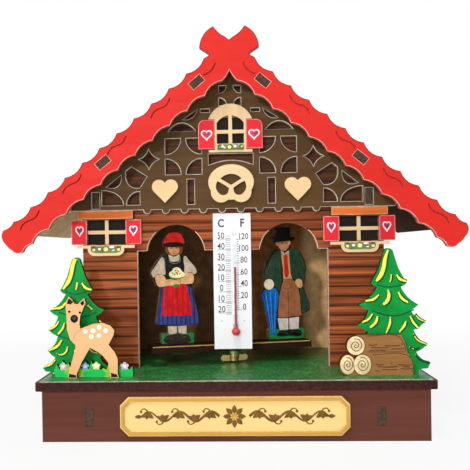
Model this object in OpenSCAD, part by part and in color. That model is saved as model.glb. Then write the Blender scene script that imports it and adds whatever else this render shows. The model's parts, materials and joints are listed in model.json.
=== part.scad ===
// A chalet weather house cut from thin boards, with a man and a woman on a beam
// that a twisted gut turns, and a thermometer between the two doorways.
// The origin is under the middle of the house, on the surface that it stands on.
// X runs to the right, Y to the back and Z up.

/* [Boards] */
// Thickness of the cut boards
board = 3.2; // [2.6:0.1:4]
// Thickness of the deck
deck_t = 3.4; // [2.6:0.1:5]
// Thickness of the printed grass sheet on the deck
grass_t = 0.4; // [0.2:0.1:0.8]
// Thickness of the thin pieces glued on the gable
trim_t = 1.6; // [1:0.1:2.2]
// Gap all round a tab in its slot
slot_gap = 0.1; // [0.05:0.05:0.3]
// Gap under a sloping seat
seat_gap = 0.05; // [0.02:0.01:0.2]

/* [Base] */
// Width of the base box
base_w = 156.2; // [150:0.5:170]
// Height of the base box
base_h = 21; // [18:0.5:30]
// Overhang of the deck past the base box
deck_lip = 2.5; // [1.5:0.5:5]
// Deck behind the back wall
yard_back = 4.8; // [4:0.2:10]
// Radius of the deck's corners
deck_corner = 2; // [1:0.5:4]
// Bare edge of the deck round the grass sheet
grass_inset = 1.6; // [1:0.2:3]
// Distance between the middles of the two ribs
rib_span = 117.4; // [100:0.5:130]
// Height of a rib's tab
rib_tab_h = 7.5; // [5:0.5:12]
// Width of the nameplate
plate_w = 92; // [60:1:100]
// Height of the nameplate
plate_h = 15.8; // [10:0.2:17]
// Thickness of the nameplate
plate_t = 2.2; // [1.2:0.1:2.4]
// Cut-off corner of the nameplate
plate_corner = 3.4; // [1:0.2:5]
// Width of the nameplate's bevelled rim
plate_rim = 1.7; // [1:0.1:3]

/* [Room] */
// Deck in front of the front wall
yard_front = 36.6; // [34:0.2:50]
// Depth of the room between the walls
room_d = 60.2; // [58:0.2:80]
// Width of the front wall
wall_w = 133.8; // [131:0.2:140]
// Front wall past the outside of a side wall
side_inset = 5.1; // [4:0.1:8]
// Distance between the outer jambs of the doorways
door_w = 84.4; // [82:0.2:90]
// Height of the jambs above the deck
jamb_h = 52.6; // [52:0.2:58]
// Radius of the doorway arches
arch_r = 12.85; // [12.5:0.05:13.5]
// Distance between the middles of the two arches
arch_span = 50.2; // [48:0.2:54]
// Drop of the arch centres below the jamb tops
arch_drop = 1.2; // [0:0.1:2]
// Width of the tongue that hangs between the doorways
tongue_w = 15; // [12:0.2:16]
// Foot of the tongue above the deck
tongue_foot = 10.6; // [10:0.1:14]
// Underside of the ceiling above the deck
ceiling_h = 71.8; // [71:0.2:76]
// Width of a wall's foot tab
foot_tab_w = 10; // [6:0.5:14]
// Width of the opening in the back wall that reaches the knob
access_w = 30; // [24:0.5:36]

/* [Roof] */
// Slope of the roof in degrees
pitch = 39.3; // [38:0.1:40]
// Ridge of the roof panels' middle plane above the deck
ridge_h = 135.94; // [135:0.1:142]
// Length of a roof panel from ridge to eave
roof_len = 117.6; // [112:0.2:119]
// Roof panel past the back wall
roof_back = 14.8; // [8:0.2:24]
// Bargeboard's front face behind the deck's front edge
barge_set = 22; // [20.5:0.5:24]
// Bargeboard above the roof panels' middle plane
barge_up = 5.6; // [4:0.1:7]
// Bargeboard below the roof panels' middle plane
barge_down = 6.7; // [5:0.1:8]
// Distance between two cusps of the bargeboard
cusp_pitch = 9.775; // [9:0.005:9.9]
// Depth of a scallop between two cusps
scallop = 1.45; // [0.8:0.05:2]
// Width of a roof panel's tab
roof_tab_w = 6; // [4:0.5:9]
// Width of the long grooves in the bargeboard
groove_w = 0.7; // [0.5:0.05:1]
// Depth of the grooves in the bargeboard
groove_d = 1; // [0.5:0.1:1.6]

/* [Gable] */
// Width of the fretwork panel
fret_w = 143; // [140:0.5:145]
// Bottom edge of the fretwork panel above the deck
fret_h = 70.8; // [70:0.2:74]
// Distance between two tongues under the fretwork
drip_pitch = 8.28; // [7.5:0.02:8.5]
// Drop of a tongue under the fretwork
drip = 1.8; // [1:0.1:1.9]
// Width of the pretzel
pretzel_w = 20; // [16:0.2:22]
// Width of a gable heart
heart_w = 11.5; // [8:0.1:13]
// Distance between the middles of the gable hearts
heart_span = 58.3; // [56:0.1:60]
// Width of the gable window's frame
attic_w = 13.6; // [12:0.1:14]
// Foot of the gable window above the deck
attic_h = 95.5; // [95:0.1:97]

/* [Side windows] */
// Width of a side window's opening
pane_w = 17.4; // [15:0.1:18]
// Height of a side window's opening
pane_h = 11; // [10:0.1:11.2]
// Distance between the middles of the two side windows
pane_span = 112; // [111:0.1:113]
// Foot of the side windows' openings above the deck
pane_z = 55.8; // [55.6:0.1:56]
// Width of a shutter
shutter_w = 7; // [6:0.1:7.4]
// Width of a window bar
bar_w = 1.6; // [1.2:0.1:2.4]
// Thickness of the dark panes
pane_t = 1; // [0.8:0.1:1.4]
// Length of a window's lintel
lintel_w = 24.4; // [20:0.1:26]
// Height of a window's lintel
lintel_h = 3.5; // [2.5:0.1:3.6]
// Length of a window's sill
sill_w = 25.8; // [22:0.1:28]

/* [Thermometer] */
// Width of the thermometer's card
card_w = 16.7; // [15.5:0.1:18]
// Foot of the thermometer's card above the deck
card_foot = 8.6; // [8:0.1:12]
// Thickness of the thermometer's card
card_t = 1.2; // [0.8:0.1:2]
// Width of the glass tube
tube_w = 2.9; // [2.4:0.1:3.6]
// Height of the glass tube
tube_h = 45; // [40:0.5:48]
// Radius of the bulb
bulb_r = 1.85; // [1.5:0.05:1.95]
// Height of the red column above the bulb
column_h = 28.6; // [10:0.2:38]

/* [Beam] */
// Pivot of the beam behind the front wall's back face
pivot_set = 10.8; // [10.4:0.1:13]
// Length of the beam
beam_l = 75.6; // [74:0.2:77]
// Middle of the beam's length past the pivot, towards the woman
beam_shift = 1.6; // [0:0.1:2]
// Width of the beam
beam_w = 11.6; // [11:0.1:12]
// Top of the beam above the deck
beam_h = 9.9; // [9.2:0.1:10.2]
// Angle at which the beam stands, woman forward
beam_turn = 16; // [10:1:20]
// Woman's distance from the pivot
woman_x = 26; // [25.4:0.1:28]
// Man's distance from the pivot
man_x = 26.8; // [26:0.1:28]
// Thickness of the figures
figure_t = 3; // [2.4:0.1:3.2]
// Figures' front faces behind the beam's front edge
figure_set = 7.3; // [6.6:0.1:7.4]
// Height of the woman
woman_h = 51; // [46:0.5:52]
// Height of the man
man_h = 52.9; // [48:0.1:54]
// Height of the printed ground at the figures' feet
ground_h = 5.1; // [4:0.1:5.6]
// Thickness of the gut
gut_d = 0.8; // [0.6:0.1:1]
// Diameter of the beam's bolt
bolt_d = 3; // [2.4:0.1:3.4]
// Span of the wing nut
wing_span = 13.1; // [11:0.1:14]
// Diameter of the adjusting knob
knob_d = 12; // [10:0.2:16]
// Diameter of the knob's spindle
spindle_d = 3; // [2.6:0.1:3.6]
// Running gap round the spindle
run_gap = 0.06; // [0.03:0.01:0.1]

/* [Yard] */
// Height of the left tree
tree_left_h = 50; // [44:0.5:52]
// Height of the right tree
tree_right_h = 52; // [46:0.5:52]
// Width of the left tree
tree_left_w = 29.8; // [26:0.1:31]
// Width of the right tree
tree_right_w = 31.6; // [28:0.1:33]
// Height of the deer
deer_h = 33.9; // [30:0.1:36]
// Width of the meadow
meadow_w = 33.3; // [30:0.1:36]
// Height of the log pile
log_h = 16.7; // [14:0.1:18]
// Deer's front face behind the deck's front edge
deer_set = 8.7; // [6:0.1:9]
// Trees' front face behind the deck's front edge
tree_set = 16; // [15.6:0.1:17]
// Log pile's front face behind the deck's front edge
log_set = 10.8; // [8:0.1:11]

/* [Hidden] */
$fn = 48;
e = 0.01;

// Depths, counted from the deck's front edge
overall_d = yard_front + 2 * board + room_d + roof_back;
front_y = -overall_d / 2;
deck_d = yard_front + 2 * board + room_d + yard_back;
deck_w = base_w + 2 * deck_lip;
wall_y = front_y + yard_front;
room_y = wall_y + board;
back_y = room_y + room_d;
fret_y = wall_y - board;
barge_y = front_y + barge_set;
roof_y = barge_y + board;
pivot_y = room_y + pivot_set;

// Heights
deck_z = base_h + deck_t;
grass_z = deck_z + grass_t;
ridge_z = deck_z + ridge_h;
ledge_z = deck_z + jamb_h;
ceiling_z = deck_z + ceiling_h;
fret_z = deck_z + fret_h;
attic_z = deck_z + attic_h;
window_z = deck_z + pane_z;
beam_z = deck_z + beam_h;
side_out = wall_w / 2 - side_inset;
side_in = side_out - board;
base_in_y = front_y + deck_lip + board;
base_out_y = front_y + deck_d - deck_lip - board;

// Height of the roof panels' underside at a distance from the middle
function under(x) = ridge_z - board / 2 / cos(pitch) - tan(pitch) * abs(x) - seat_gap;
// A point given along the right roof slope and square to it
function slope(s, n) = [s * cos(pitch) + n * sin(pitch), ridge_z - s * sin(pitch) + n * cos(pitch)];
// Points of an arc
function arc(x, y, r, a, b, n) = [for (i = [0:n]) let (t = a + (b - a) * i / n) [x + r * cos(t), y + r * sin(t)]];
// Points from p to q, bowed to the left by b, without q
function bow(p, q, b, n) = [for (i = [0:n - 1]) let (t = i / n, d = q - p, u = [-d[1], d[0]] / norm(d))
    p + d * t + u * b * 4 * t * (1 - t)];
// An outline drawn at one size, brought to another
function sized(pts, k) = [for (p = pts) p * k];
// An outline the other way round
function turned(pts) = [for (i = [len(pts) - 1:-1:0]) pts[i]];
// The other half of an outline, without the points on the middle line
function mirrored(pts) = [for (i = [len(pts) - 1:-1:0]) if (pts[i][0] != 0) [-pts[i][0], pts[i][1]]];
// A whole outline from its right half, which runs clockwise from the top
function whole(half) = turned(concat(half, mirrored(half)));

// An outline drawn in X and Z, as a board that starts at a depth
module upright(y, t) translate([0, y + t, 0]) rotate([90, 0, 0]) linear_extrude(t) children();
// An outline drawn in Y and Z, as a board that starts at a place across
module sideways(x, t) translate([x, 0, 0]) rotate([90, 0, 90]) linear_extrude(t) children();
module flat(z, t) translate([0, 0, z]) linear_extrude(t) children();
// A rectangle from one corner to the other
module rect(x0, y0, x1, y1) translate([x0, y0]) square([x1 - x0, y1 - y0]);
module both() {
    children();
    mirror([1, 0]) children();
}
module round_rect(w, d, r) {
    square([w - 2 * r, d], center = true);
    square([w, d - 2 * r], center = true);
    for (x = [-1, 1], y = [-1, 1]) translate([x * (w / 2 - r), y * (d / 2 - r)]) circle(r);
}
module heart(w) {
    r = w * 0.27;
    for (x = [-1, 1]) translate([x * (w / 2 - r), 0]) circle(r);
    polygon([
        [0, -w * 0.62], [w / 2 - r + r * cos(-38), r * sin(-38)], [w / 2 - r, r * 0.1],
        [0, r * 0.55], [r - w / 2, r * 0.1], [r - w / 2 - r * cos(-38), r * sin(-38)]
    ]);
}

// The base box

rib_tab_z = base_h / 2 - 0.5;
module base_board(y) color("#6e3c32") upright(y, board) difference() {
    rect(-base_w / 2, 0, base_w / 2, base_h);
    for (x = [-1, 1]) translate([x * rib_span / 2, rib_tab_z])
        square([board + 2 * slot_gap, rib_tab_h + 2 * slot_gap], center = true);
}
module base_front() base_board(front_y + deck_lip);
module base_back() base_board(base_out_y);
module base_end(side) color("#6e3c32")
    sideways(side * (base_w - board) / 2 - board / 2, board) rect(base_in_y, 0, base_out_y, base_h);
module base_rib(side) color("#8a5c40") sideways(side * rib_span / 2 - board / 2, board) {
    rect(base_in_y, 0, base_out_y, base_h);
    rect(base_in_y - board, rib_tab_z - rib_tab_h / 2, base_out_y + board, rib_tab_z + rib_tab_h / 2);
}
module base_end_left() base_end(-1);
module base_end_right() base_end(1);
module base_rib_left() base_rib(-1);
module base_rib_right() base_rib(1);

// Footprints of the tabs that stand in the deck, each with its gap
leg_x = (door_w + wall_w) / 4;
tree_x = 66;
tree_tab = 8;
deer_x = -60.8;
log_x = 58.6;
meadow_y = front_y + deer_set + board;
module tab_holes(gap) {
    for (x = [-leg_x, leg_x]) translate([x, wall_y + board / 2])
        square([foot_tab_w + 2 * gap, board + 2 * gap], center = true);
    for (x = [-leg_x, leg_x]) translate([x, back_y + board / 2])
        square([foot_tab_w + 2 * gap, board + 2 * gap], center = true);
    for (x = [-1, 1]) translate([x * (side_in + board / 2), (room_y + back_y) / 2])
        square([board + 2 * gap, foot_tab_w + 2 * gap], center = true);
    yard_holes(gap);
}
module yard_holes(gap) {
    for (x = [-tree_x, tree_x]) translate([x, front_y + tree_set + board / 2])
        square([tree_tab + 2 * gap, board + 2 * gap], center = true);
    translate([deer_x, meadow_y + board / 2])
        square([tree_tab + 2 * gap, board + 2 * gap], center = true);
    translate([log_x, front_y + log_set + board / 2])
        square([tree_tab + 2 * gap, board + 2 * gap], center = true);
}
module deck() color("#3c1e19") flat(base_h, deck_t) difference() {
    translate([0, front_y + deck_d / 2]) round_rect(deck_w, deck_d, deck_corner);
    tab_holes(slot_gap);
}
module grass_sheet() color("#14462a") flat(deck_z, grass_t) difference() {
    translate([0, front_y + deck_d / 2])
        square([deck_w - 2 * grass_inset, deck_d - 2 * grass_inset], center = true);
    both() rect(door_w / 2 - slot_gap, wall_y - slot_gap, wall_w / 2 + slot_gap, room_y + slot_gap);
    both() rect(side_in - slot_gap, wall_y, side_out + slot_gap, back_y + board / 2);
    rect(-wall_w / 2 - slot_gap, back_y - slot_gap, wall_w / 2 + slot_gap, back_y + board + slot_gap);
    yard_holes(slot_gap);
}
module octagon(w, h, c) polygon([
    [-w / 2 + c, -h / 2], [w / 2 - c, -h / 2], [w / 2, -h / 2 + c], [w / 2, h / 2 - c],
    [w / 2 - c, h / 2], [-w / 2 + c, h / 2], [-w / 2, h / 2 - c], [-w / 2, -h / 2 + c]
]);
module nameplate() {
    y = front_y + deck_lip - plate_t;
    color("#faeabe") translate([0, 0, base_h / 2]) upright(y + plate_t * 0.3, plate_t * 0.7)
        octagon(plate_w, plate_h, plate_corner);
    color("#c8a050") translate([0, 0, base_h / 2]) upright(y, plate_t * 0.3) difference() {
        octagon(plate_w - 0.8, plate_h - 0.8, plate_corner);
        octagon(plate_w - 2 * plate_rim, plate_h - 2 * plate_rim, plate_corner * 0.8);
    }
}

// The walls and the ceiling

ceil_tab_x = 27;
ceil_tab_w = 12;
side_tab_z = fret_z + 1;
side_tab_h = 7;
module gable_outline() polygon([
    [-wall_w / 2, deck_z], [wall_w / 2, deck_z], [wall_w / 2, under(wall_w / 2)],
    [0, under(0)], [-wall_w / 2, under(wall_w / 2)]
]);
module wall_joints() {
    // foot tabs go down into the deck
    for (x = [-leg_x, leg_x]) translate([x - foot_tab_w / 2, base_h]) square([foot_tab_w, deck_t + e]);
}
module side_tab_holes() both()
    rect(side_in - slot_gap, side_tab_z - slot_gap, side_out + slot_gap, side_tab_z + side_tab_h + slot_gap);
module ceiling_tab_holes() both()
    rect(ceil_tab_x - ceil_tab_w / 2 - slot_gap, ceiling_z - slot_gap,
        ceil_tab_x + ceil_tab_w / 2 + slot_gap, ceiling_z + board + slot_gap);
attic_in = attic_w / 2 - 0.9;
cross_gap = 0.05;
module front_wall() color("#96502d") upright(wall_y, board) {
    difference() {
        gable_outline();
        rect(-door_w / 2, deck_z - 1, door_w / 2, deck_z + tongue_foot);
        both() rect(tongue_w / 2, deck_z, door_w / 2, ledge_z);
        both() translate([arch_span / 2, ledge_z - arch_drop]) circle(arch_r, $fn = 96);
        both() translate([pane_span / 2, window_z + pane_h / 2]) square([pane_w, pane_h], center = true);
        rect(-attic_in, attic_z + 4, attic_in, attic_z + 15.5);
        side_tab_holes();
        ceiling_tab_holes();
    }
    wall_joints();
}
module back_wall() color("#b98d5e") upright(back_y, board) {
    difference() {
        gable_outline();
        rect(-access_w / 2, ceiling_z + board + 1, access_w / 2, ceiling_z + board + 14);
        translate([0, ceiling_z + board + 14]) circle(access_w / 2, $fn = 96);
        side_tab_holes();
        ceiling_tab_holes();
    }
    wall_joints();
}
module side_wall(side) color("#b98d5e") sideways(side * (side_in + board / 2) - board / 2, board) {
    rect(room_y, deck_z, back_y, under(side_out));
    rect(fret_y, side_tab_z, back_y + board, side_tab_z + side_tab_h);
    translate([(room_y + back_y - foot_tab_w) / 2, base_h]) square([foot_tab_w, deck_t + e]);
}
module side_wall_left() side_wall(-1);
module side_wall_right() side_wall(1);
bush_r = spindle_d / 2 + 1.2;
module ceiling_plate() color("#b98d5e") flat(ceiling_z, board) difference() {
    union() {
        rect(-side_in, room_y, side_in, back_y);
        for (x = [-ceil_tab_x, ceil_tab_x]) translate([x - ceil_tab_w / 2, wall_y])
            square([ceil_tab_w, back_y + board - wall_y]);
    }
    translate([0, pivot_y]) circle(bush_r + run_gap);
}

// The roof and the bargeboard

roof_tabs = [18.2, 70.9];
module slope_rect(s0, n0, s1, n1) polygon([slope(s0, n0), slope(s1, n0), slope(s1, n1), slope(s0, n1)]);
module roof_panel() {
    upright(roof_y, back_y + board + roof_back - roof_y)
        slope_rect(board / 2 * tan(pitch) + seat_gap, -board / 2, roof_len, board / 2);
    upright(barge_y, board + e)
        for (s = roof_tabs) slope_rect(s - roof_tab_w / 2, -board / 2, s + roof_tab_w / 2, board / 2);
}
module roof_panel_right() color("#c8a578") roof_panel();
module roof_panel_left() color("#c8a578") mirror([1, 0, 0]) roof_panel();

cusps = 12;
first_cusp = 9.45;
barge_end = first_cusp + (cusps - 1) * cusp_pitch + 9;
function outer_cusp(j) = slope(first_cusp + j * cusp_pitch, barge_up);
function inner_cusp(j) = slope(first_cusp + j * cusp_pitch, -barge_down);
// Half of the outline, from the notch between the horns round the eave to the inner peak
barge_half = concat(
    [[0, ridge_z + 6.1]],
    bow([1.6, ridge_z + 7.4], [6.7, ridge_z + 12], -0.5, 4),
    bow([6.7, ridge_z + 12], [12.7, ridge_z + 3.1], 1.5, 6),
    [[12.7, ridge_z + 3.1], [8.1, ridge_z]],
    [for (j = [0:cusps - 2]) each bow(outer_cusp(j), outer_cusp(j + 1), -scallop, 5)],
    bow(outer_cusp(cusps - 1), slope(barge_end - 3.1, barge_up), -scallop / 2, 4),
    bow(slope(barge_end - 3.1, barge_up), slope(barge_end, barge_up - 3.4), 0.7, 3),
    bow(slope(barge_end, barge_up - 3.4), slope(barge_end - 0.5, 2 - barge_down), 0.3, 3),
    bow(slope(barge_end - 0.5, 2 - barge_down), slope(barge_end - 3.4, -barge_down - 0.2), 0.5, 3),
    bow(slope(barge_end - 3.4, -barge_down - 0.2), inner_cusp(cusps - 1), -scallop / 2, 4),
    [for (j = [cusps - 1:-1:1]) each bow(inner_cusp(j), inner_cusp(j - 1), -scallop, 5)],
    bow(inner_cusp(0), [0, ridge_z - 6.5], 0.35, 4),
    [[0, ridge_z - 6.5]]
);
// The long wavy grooves: where each starts along the slope, and its length
grooves = [[6.6, 7.4], [31.3, 11.6], [56, 11.6], [81.3, 11.6], [105.3, 11.9]];
// The first one, over the peak, is a single bend
function wave(s, t) = s < grooves[1][0] ? 1 - 0.8 * t - sin(180 * t) : 2.1 - 1.2 * t - 0.9 * sin(360 * t);
module groove(s, l) polygon(concat(
    [for (i = [0:10]) slope(s + l * i / 10, wave(s, i / 10) + groove_w / 2)],
    [for (i = [10:-1:0]) slope(s + l * i / 10, wave(s, i / 10) - groove_w / 2)]
));
module bargeboard() color("#eb3a3a") difference() {
    upright(barge_y, board) difference() {
        polygon(whole(barge_half));
        both() for (s = roof_tabs) slope_rect(s - roof_tab_w / 2 - slot_gap, -board / 2 - slot_gap,
            s + roof_tab_w / 2 + slot_gap, board / 2 + slot_gap);
    }
    upright(barge_y - 1, 1 + groove_d) both() for (g = grooves) groove(g[0], g[1]);
}

// The fretwork under the roof. Heights here are counted from its bottom edge.

drips = 5;
drip_r = 1.75;
// One quarter of a disc that fills the corner at x, z towards the signs sx, sz
module quarter(x, z, r, sx, sz) intersection() {
    translate([x, z]) circle(r);
    translate([x + sx * r / 2, z + sz * r / 2]) square(r + e, center = true);
}
module quatrefoil(x, z, w, h, r) for (sx = [-1, 1], sz = [-1, 1])
    quarter(x - sx * w / 2, z - sz * h / 2, r, sx, sz);
// A star with four points and hollow sides
module astroid(x, z, r) translate([x, z])
    polygon([for (a = [0:15:345]) [r * pow(abs(cos(a)), 3) * sign(cos(a)), r * pow(abs(sin(a)), 3) * sign(sin(a))]]);
module fret_cuts() {
    quatrefoil(20.85, 23.4, 16.1, 15.8, 6.8);
    astroid(36.2, 22.4, 4.55);
    // petal, half lens and quarter dome towards the eave
    polygon(concat([[37.2, 14.8], [44.1, 19.2], [46.5, 17.3]], bow([46.6, 14.7], [40.5, 9.9], 1.8, 6), [[40.5, 9.9]]));
    polygon(concat(bow([55.5, 10.4], [48.6, 15.7], 2.9, 6), [[48.6, 15.7]]));
    quarter(40.5, 2.4, 5.8, 1, 1);
    polygon(concat([[57.4, 2.3]], [for (a = [90:11.25:180]) [57.4 + 9.5 * cos(a), 2.3 + 6.6 * sin(a)]]));
    // upright slot beside the pretzel
    rect(16.2, 2.2, 19.4, 13.3);
    // dome, half lens and short slot near the ridge
    polygon(concat(bow([27.5, 34.5], [15.3, 34.5], -3.6, 8), [[15.3, 34.5]]));
    polygon(concat(bow([20.9, 39.6], [14.4, 44], 1.6, 6), [[14.4, 44]]));
    rect(9.1, 42.6, 13, 44);
}
module fretwork_panel() color("#4b4132") upright(fret_y, board) difference() {
    union() {
        polygon([
            [-fret_w / 2, fret_z], [fret_w / 2, fret_z], [fret_w / 2, under(fret_w / 2)],
            [0, under(0)], [-fret_w / 2, under(fret_w / 2)]
        ]);
        both() for (k = [0:drips - 1]) translate([drip_pitch * (k + 0.5), fret_z - drip + drip_r]) circle(drip_r);
    }
    translate([0, fret_z]) {
        both() fret_cuts();
        // arched slot over the pretzel and four small quarter discs at the peak
        polygon(concat(bow([-9.8, 19.3], [9.8, 19.3], 2.2, 10), [[9.8, 19.3], [9.8, 24.2], [-9.8, 24.2]]));
        quatrefoil(0, 49.8, 9.6, 8.6, 3.2);
    }
    rect(-attic_in, attic_z + 4, attic_in, attic_z + 15.5);
    side_tab_holes();
}

// What is glued on the fretwork

trim_y = fret_y - trim_t;
pretzel_z = fret_z + 2.7;
module gable_pretzel() color("#faeba8") translate([0, 0, pretzel_z]) upright(trim_y, trim_t) difference() {
    union() {
        polygon([for (a = [0:9:351]) [pretzel_w / 2 * cos(a), 8.9 + 7.8 * sin(a)]]);
        for (x = [-1, 1]) translate([x * pretzel_w * 0.22, 4.5]) circle(4.5);
    }
    // the gap over the crossed ends, and the two beside them
    polygon(concat(arc(0, 6.2, 6.3, 42, 138, 8), [[0, 7.6]]));
    both() polygon(concat([[0.9, 6]], bow([1, 6.3], [6, 9.4], 0.2, 3), bow([6, 9.4], [4.4, 3.3], 1.4, 6),
        bow([4.4, 3.3], [0.9, 5.2], 0.9, 4)));
}
module gable_heart(side) color("#f5cd96")
    translate([side * heart_span / 2, 0, fret_z + 10.1]) upright(trim_y, trim_t) heart(heart_w);
module gable_heart_left() gable_heart(-1);
module gable_heart_right() gable_heart(1);

attic_head = 9.6;
attic_pane = attic_w / 2 - 0.8;
attic_bar = 8.95;
module gable_window() color("#faeba5") translate([0, 0, attic_z]) upright(trim_y, trim_t) difference() {
    union() {
        rect(-attic_w / 2, 0, attic_w / 2, 15);
        rect(-attic_head, 0, attic_head, 1.1);
        intersection() {
            translate([0, 11]) circle(10.2, $fn = 96);
            rect(-attic_head, 14.5, attic_head, 22);
        }
    }
    difference() {
        union() {
            intersection() {
                translate([0, 9.1]) circle(7, $fn = 96);
                rect(-attic_pane, 3.7, attic_pane, 17);
            }
            rect(-attic_pane, 3.7, attic_pane, 8);
        }
        rect(-bar_w / 2, 0, bar_w / 2, 17);
        rect(-attic_pane, attic_bar - bar_w / 2, attic_pane, attic_bar + bar_w / 2);
    }
}
module gable_shutter(side) color("#e63c3c") translate([0, 0, attic_z + 1.5]) upright(trim_y, trim_t)
    scale_side(side) translate([attic_w / 2 + slot_gap, 0]) {
        square([shutter_w + 0.2, 10]);
        square([shutter_w - 2.6, 12.8]);
        translate([shutter_w - 2.6, 10]) circle(2.8);
    }
module scale_side(side) mirror([side < 0 ? 1 : 0, 0]) children();
module gable_shutter_left() gable_shutter(-1);
module gable_shutter_right() gable_shutter(1);
flowers_w = 11.6;
module gable_flowers() color("#7fa05a") translate([0, 0, attic_z + 1]) upright(trim_y - trim_t / 2, trim_t / 2) {
    rect(-flowers_w / 2, 0, flowers_w / 2, 1.4);
    for (k = [-2:2]) translate([k * flowers_w * 0.2, 1.4]) circle(1.16);
}

module gable_pane() color("#15110e") upright(fret_y + seat_gap, pane_t)
    rect(cross_gap - attic_in, attic_z + 4 + cross_gap, attic_in - cross_gap, attic_z + 15.5 - cross_gap);

// The side windows, drawn on the right and mirrored to the left

pane_x = pane_span / 2;
module window_lintel(side) color("#d76e2d") upright(wall_y - board, board) scale_side(side)
    translate([pane_x - lintel_w / 2, fret_z - slot_gap - lintel_h]) square([lintel_w, lintel_h]);
module window_cross(side) color("#faeba5") upright(wall_y, trim_t) scale_side(side)
    translate([pane_x, window_z + pane_h / 2]) {
        square([bar_w, pane_h - 2 * cross_gap], center = true);
        square([pane_w - 2 * cross_gap, bar_w], center = true);
    }
module window_pane(side) color("#15110e") upright(wall_y + trim_t, pane_t) scale_side(side)
    translate([pane_x, window_z + pane_h / 2]) square([pane_w - 2 * cross_gap, pane_h - 2 * cross_gap], center = true);
module window_sill(side) color("#faeba5") upright(wall_y - board, board) scale_side(side)
    translate([pane_x, window_z - 0.3]) {
        translate([-sill_w / 2, -1.3]) square([sill_w, 1.3]);
        translate([0, -1.6]) difference() {
            round_rect(16.4, 6.2, 3);
            translate([-10, 0.5]) square([20, 4]);
        }
    }
module window_shutter(side, x) color("#e63c3c") upright(wall_y - trim_t, trim_t) scale_side(side)
    translate([x, window_z + pane_h / 2]) round_rect(shutter_w, pane_h, 0.5);
shutter_in_x = pane_x - pane_w / 2 - shutter_w / 2;
shutter_out_x = pane_x + pane_w / 2 + shutter_w / 2;
module left_lintel() window_lintel(-1);
module right_lintel() window_lintel(1);
module left_cross() window_cross(-1);
module right_cross() window_cross(1);
module left_pane() window_pane(-1);
module right_pane() window_pane(1);
module left_sill() window_sill(-1);
module right_sill() window_sill(1);
module left_inner_shutter() window_shutter(-1, shutter_in_x);
module right_inner_shutter() window_shutter(1, shutter_in_x);
module left_outer_shutter() window_shutter(-1, shutter_out_x);
module right_outer_shutter() window_shutter(1, shutter_out_x);

// The thermometer

card_y = wall_y - card_t;
card_z = deck_z + card_foot;
card_h = fret_z - drip - 0.15 - card_z;
bulb_z = card_z + 7.9;
tube_x = 1.2;
tube_y = card_y - bulb_r - 0.15;
bore_gap = 0.03;
bore_r = 0.45;
module thermometer_card() color("#f4f4f4")
    translate([-card_w / 2, card_y, card_z]) cube([card_w, card_t, card_h]);
module spirit_column() color("#d0202a") translate([tube_x, tube_y, bulb_z]) {
    sphere(bulb_r);
    cylinder(r = bore_r, h = column_h);
}
module thermometer_tube() color("#dfe8ea") difference() {
    intersection() {
        translate([tube_x, tube_y, bulb_z]) {
            sphere(bulb_r + 0.35);
            cylinder(d = tube_w, h = tube_h);
            translate([-tube_w * 0.4, 0, 0]) cube([tube_w * 0.8, card_y - tube_y, tube_h]);
        }
        translate([tube_x - 5, card_y - 10, bulb_z - 5]) cube([10, 10, tube_h + 10]);
    }
    translate([tube_x, tube_y, bulb_z]) {
        sphere(bulb_r + bore_gap);
        cylinder(r = bore_r + bore_gap, h = tube_h - 1.5);
    }
}

// The beam and what hangs and stands on it, drawn square and turned to its place

module on_beam() translate([0, pivot_y, 0]) rotate([0, 0, beam_turn]) children();
washer_t = 0.8;
washer_d = 7;
nut_h = 4.6;
nut_top = beam_z - board - washer_t;
head_t = 1.6;
gut_sink = 1;
figure_y = figure_set - beam_w / 2;
figure_tab = 8;
module beam() color("#64402a") on_beam() difference() {
    translate([-beam_l / 2 - beam_shift, -beam_w / 2, beam_z - board]) cube([beam_l, beam_w, board]);
    translate([0, 0, beam_z - board - 1]) cylinder(d = bolt_d + 2 * slot_gap, h = board + 2);
    // slots for the figures' tabs
    for (x = [-woman_x, man_x])
        translate([x - figure_tab / 2 - slot_gap, figure_y - slot_gap, beam_z - board - 1])
            cube([figure_tab + 2 * slot_gap, figure_t + 2 * slot_gap, board + 2]);
}
module beam_bolt() color("#c0963c") on_beam() difference() {
    union() {
        translate([0, 0, beam_z]) cylinder(r = bolt_d * 0.9, h = head_t);
        translate([0, 0, nut_top - nut_h]) cylinder(d = bolt_d, h = nut_h + washer_t + board + e);
    }
    translate([0, 0, beam_z + head_t - gut_sink]) cylinder(d = gut_d + 2 * run_gap, h = gut_sink + 1);
}
module beam_washer() color("#4a3a30") on_beam() translate([0, 0, nut_top]) difference() {
    cylinder(d = washer_d, h = washer_t);
    translate([0, 0, -1]) cylinder(d = bolt_d + 2 * slot_gap, h = washer_t + 2);
}
nut_turn = 4;
wing_t = 1.8;
wing_r = 1.45;
module wing_nut() color("#d6ac50") on_beam() rotate([0, 0, nut_turn]) translate([0, 0, nut_top - nut_h]) difference() {
    union() {
        cylinder(r1 = 2.3, r2 = 2.9, h = nut_h);
        for (side = [-1, 1]) translate([0, -wing_t / 2, 0]) rotate([90, 0, 0]) translate([0, 0, -wing_t])
            linear_extrude(wing_t) {
                translate([side * (wing_span / 2 - wing_r), wing_r]) circle(wing_r);
                translate([side > 0 ? 0 : wing_r - wing_span / 2, 0]) square([wing_span / 2 - wing_r, 2 * wing_r - 0.2]);
            }
    }
    translate([0, 0, -1]) cylinder(d = bolt_d + 2 * bore_gap, h = nut_h + 2);
}
spindle_z = ceiling_z - 2;
gut_top = ceiling_z + 1.6;
module gut_cord() color("#e6d6a8") on_beam()
    translate([0, 0, beam_z + head_t - gut_sink]) cylinder(d = gut_d, h = gut_top - beam_z - head_t + gut_sink);
flange_t = 0.8;
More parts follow.
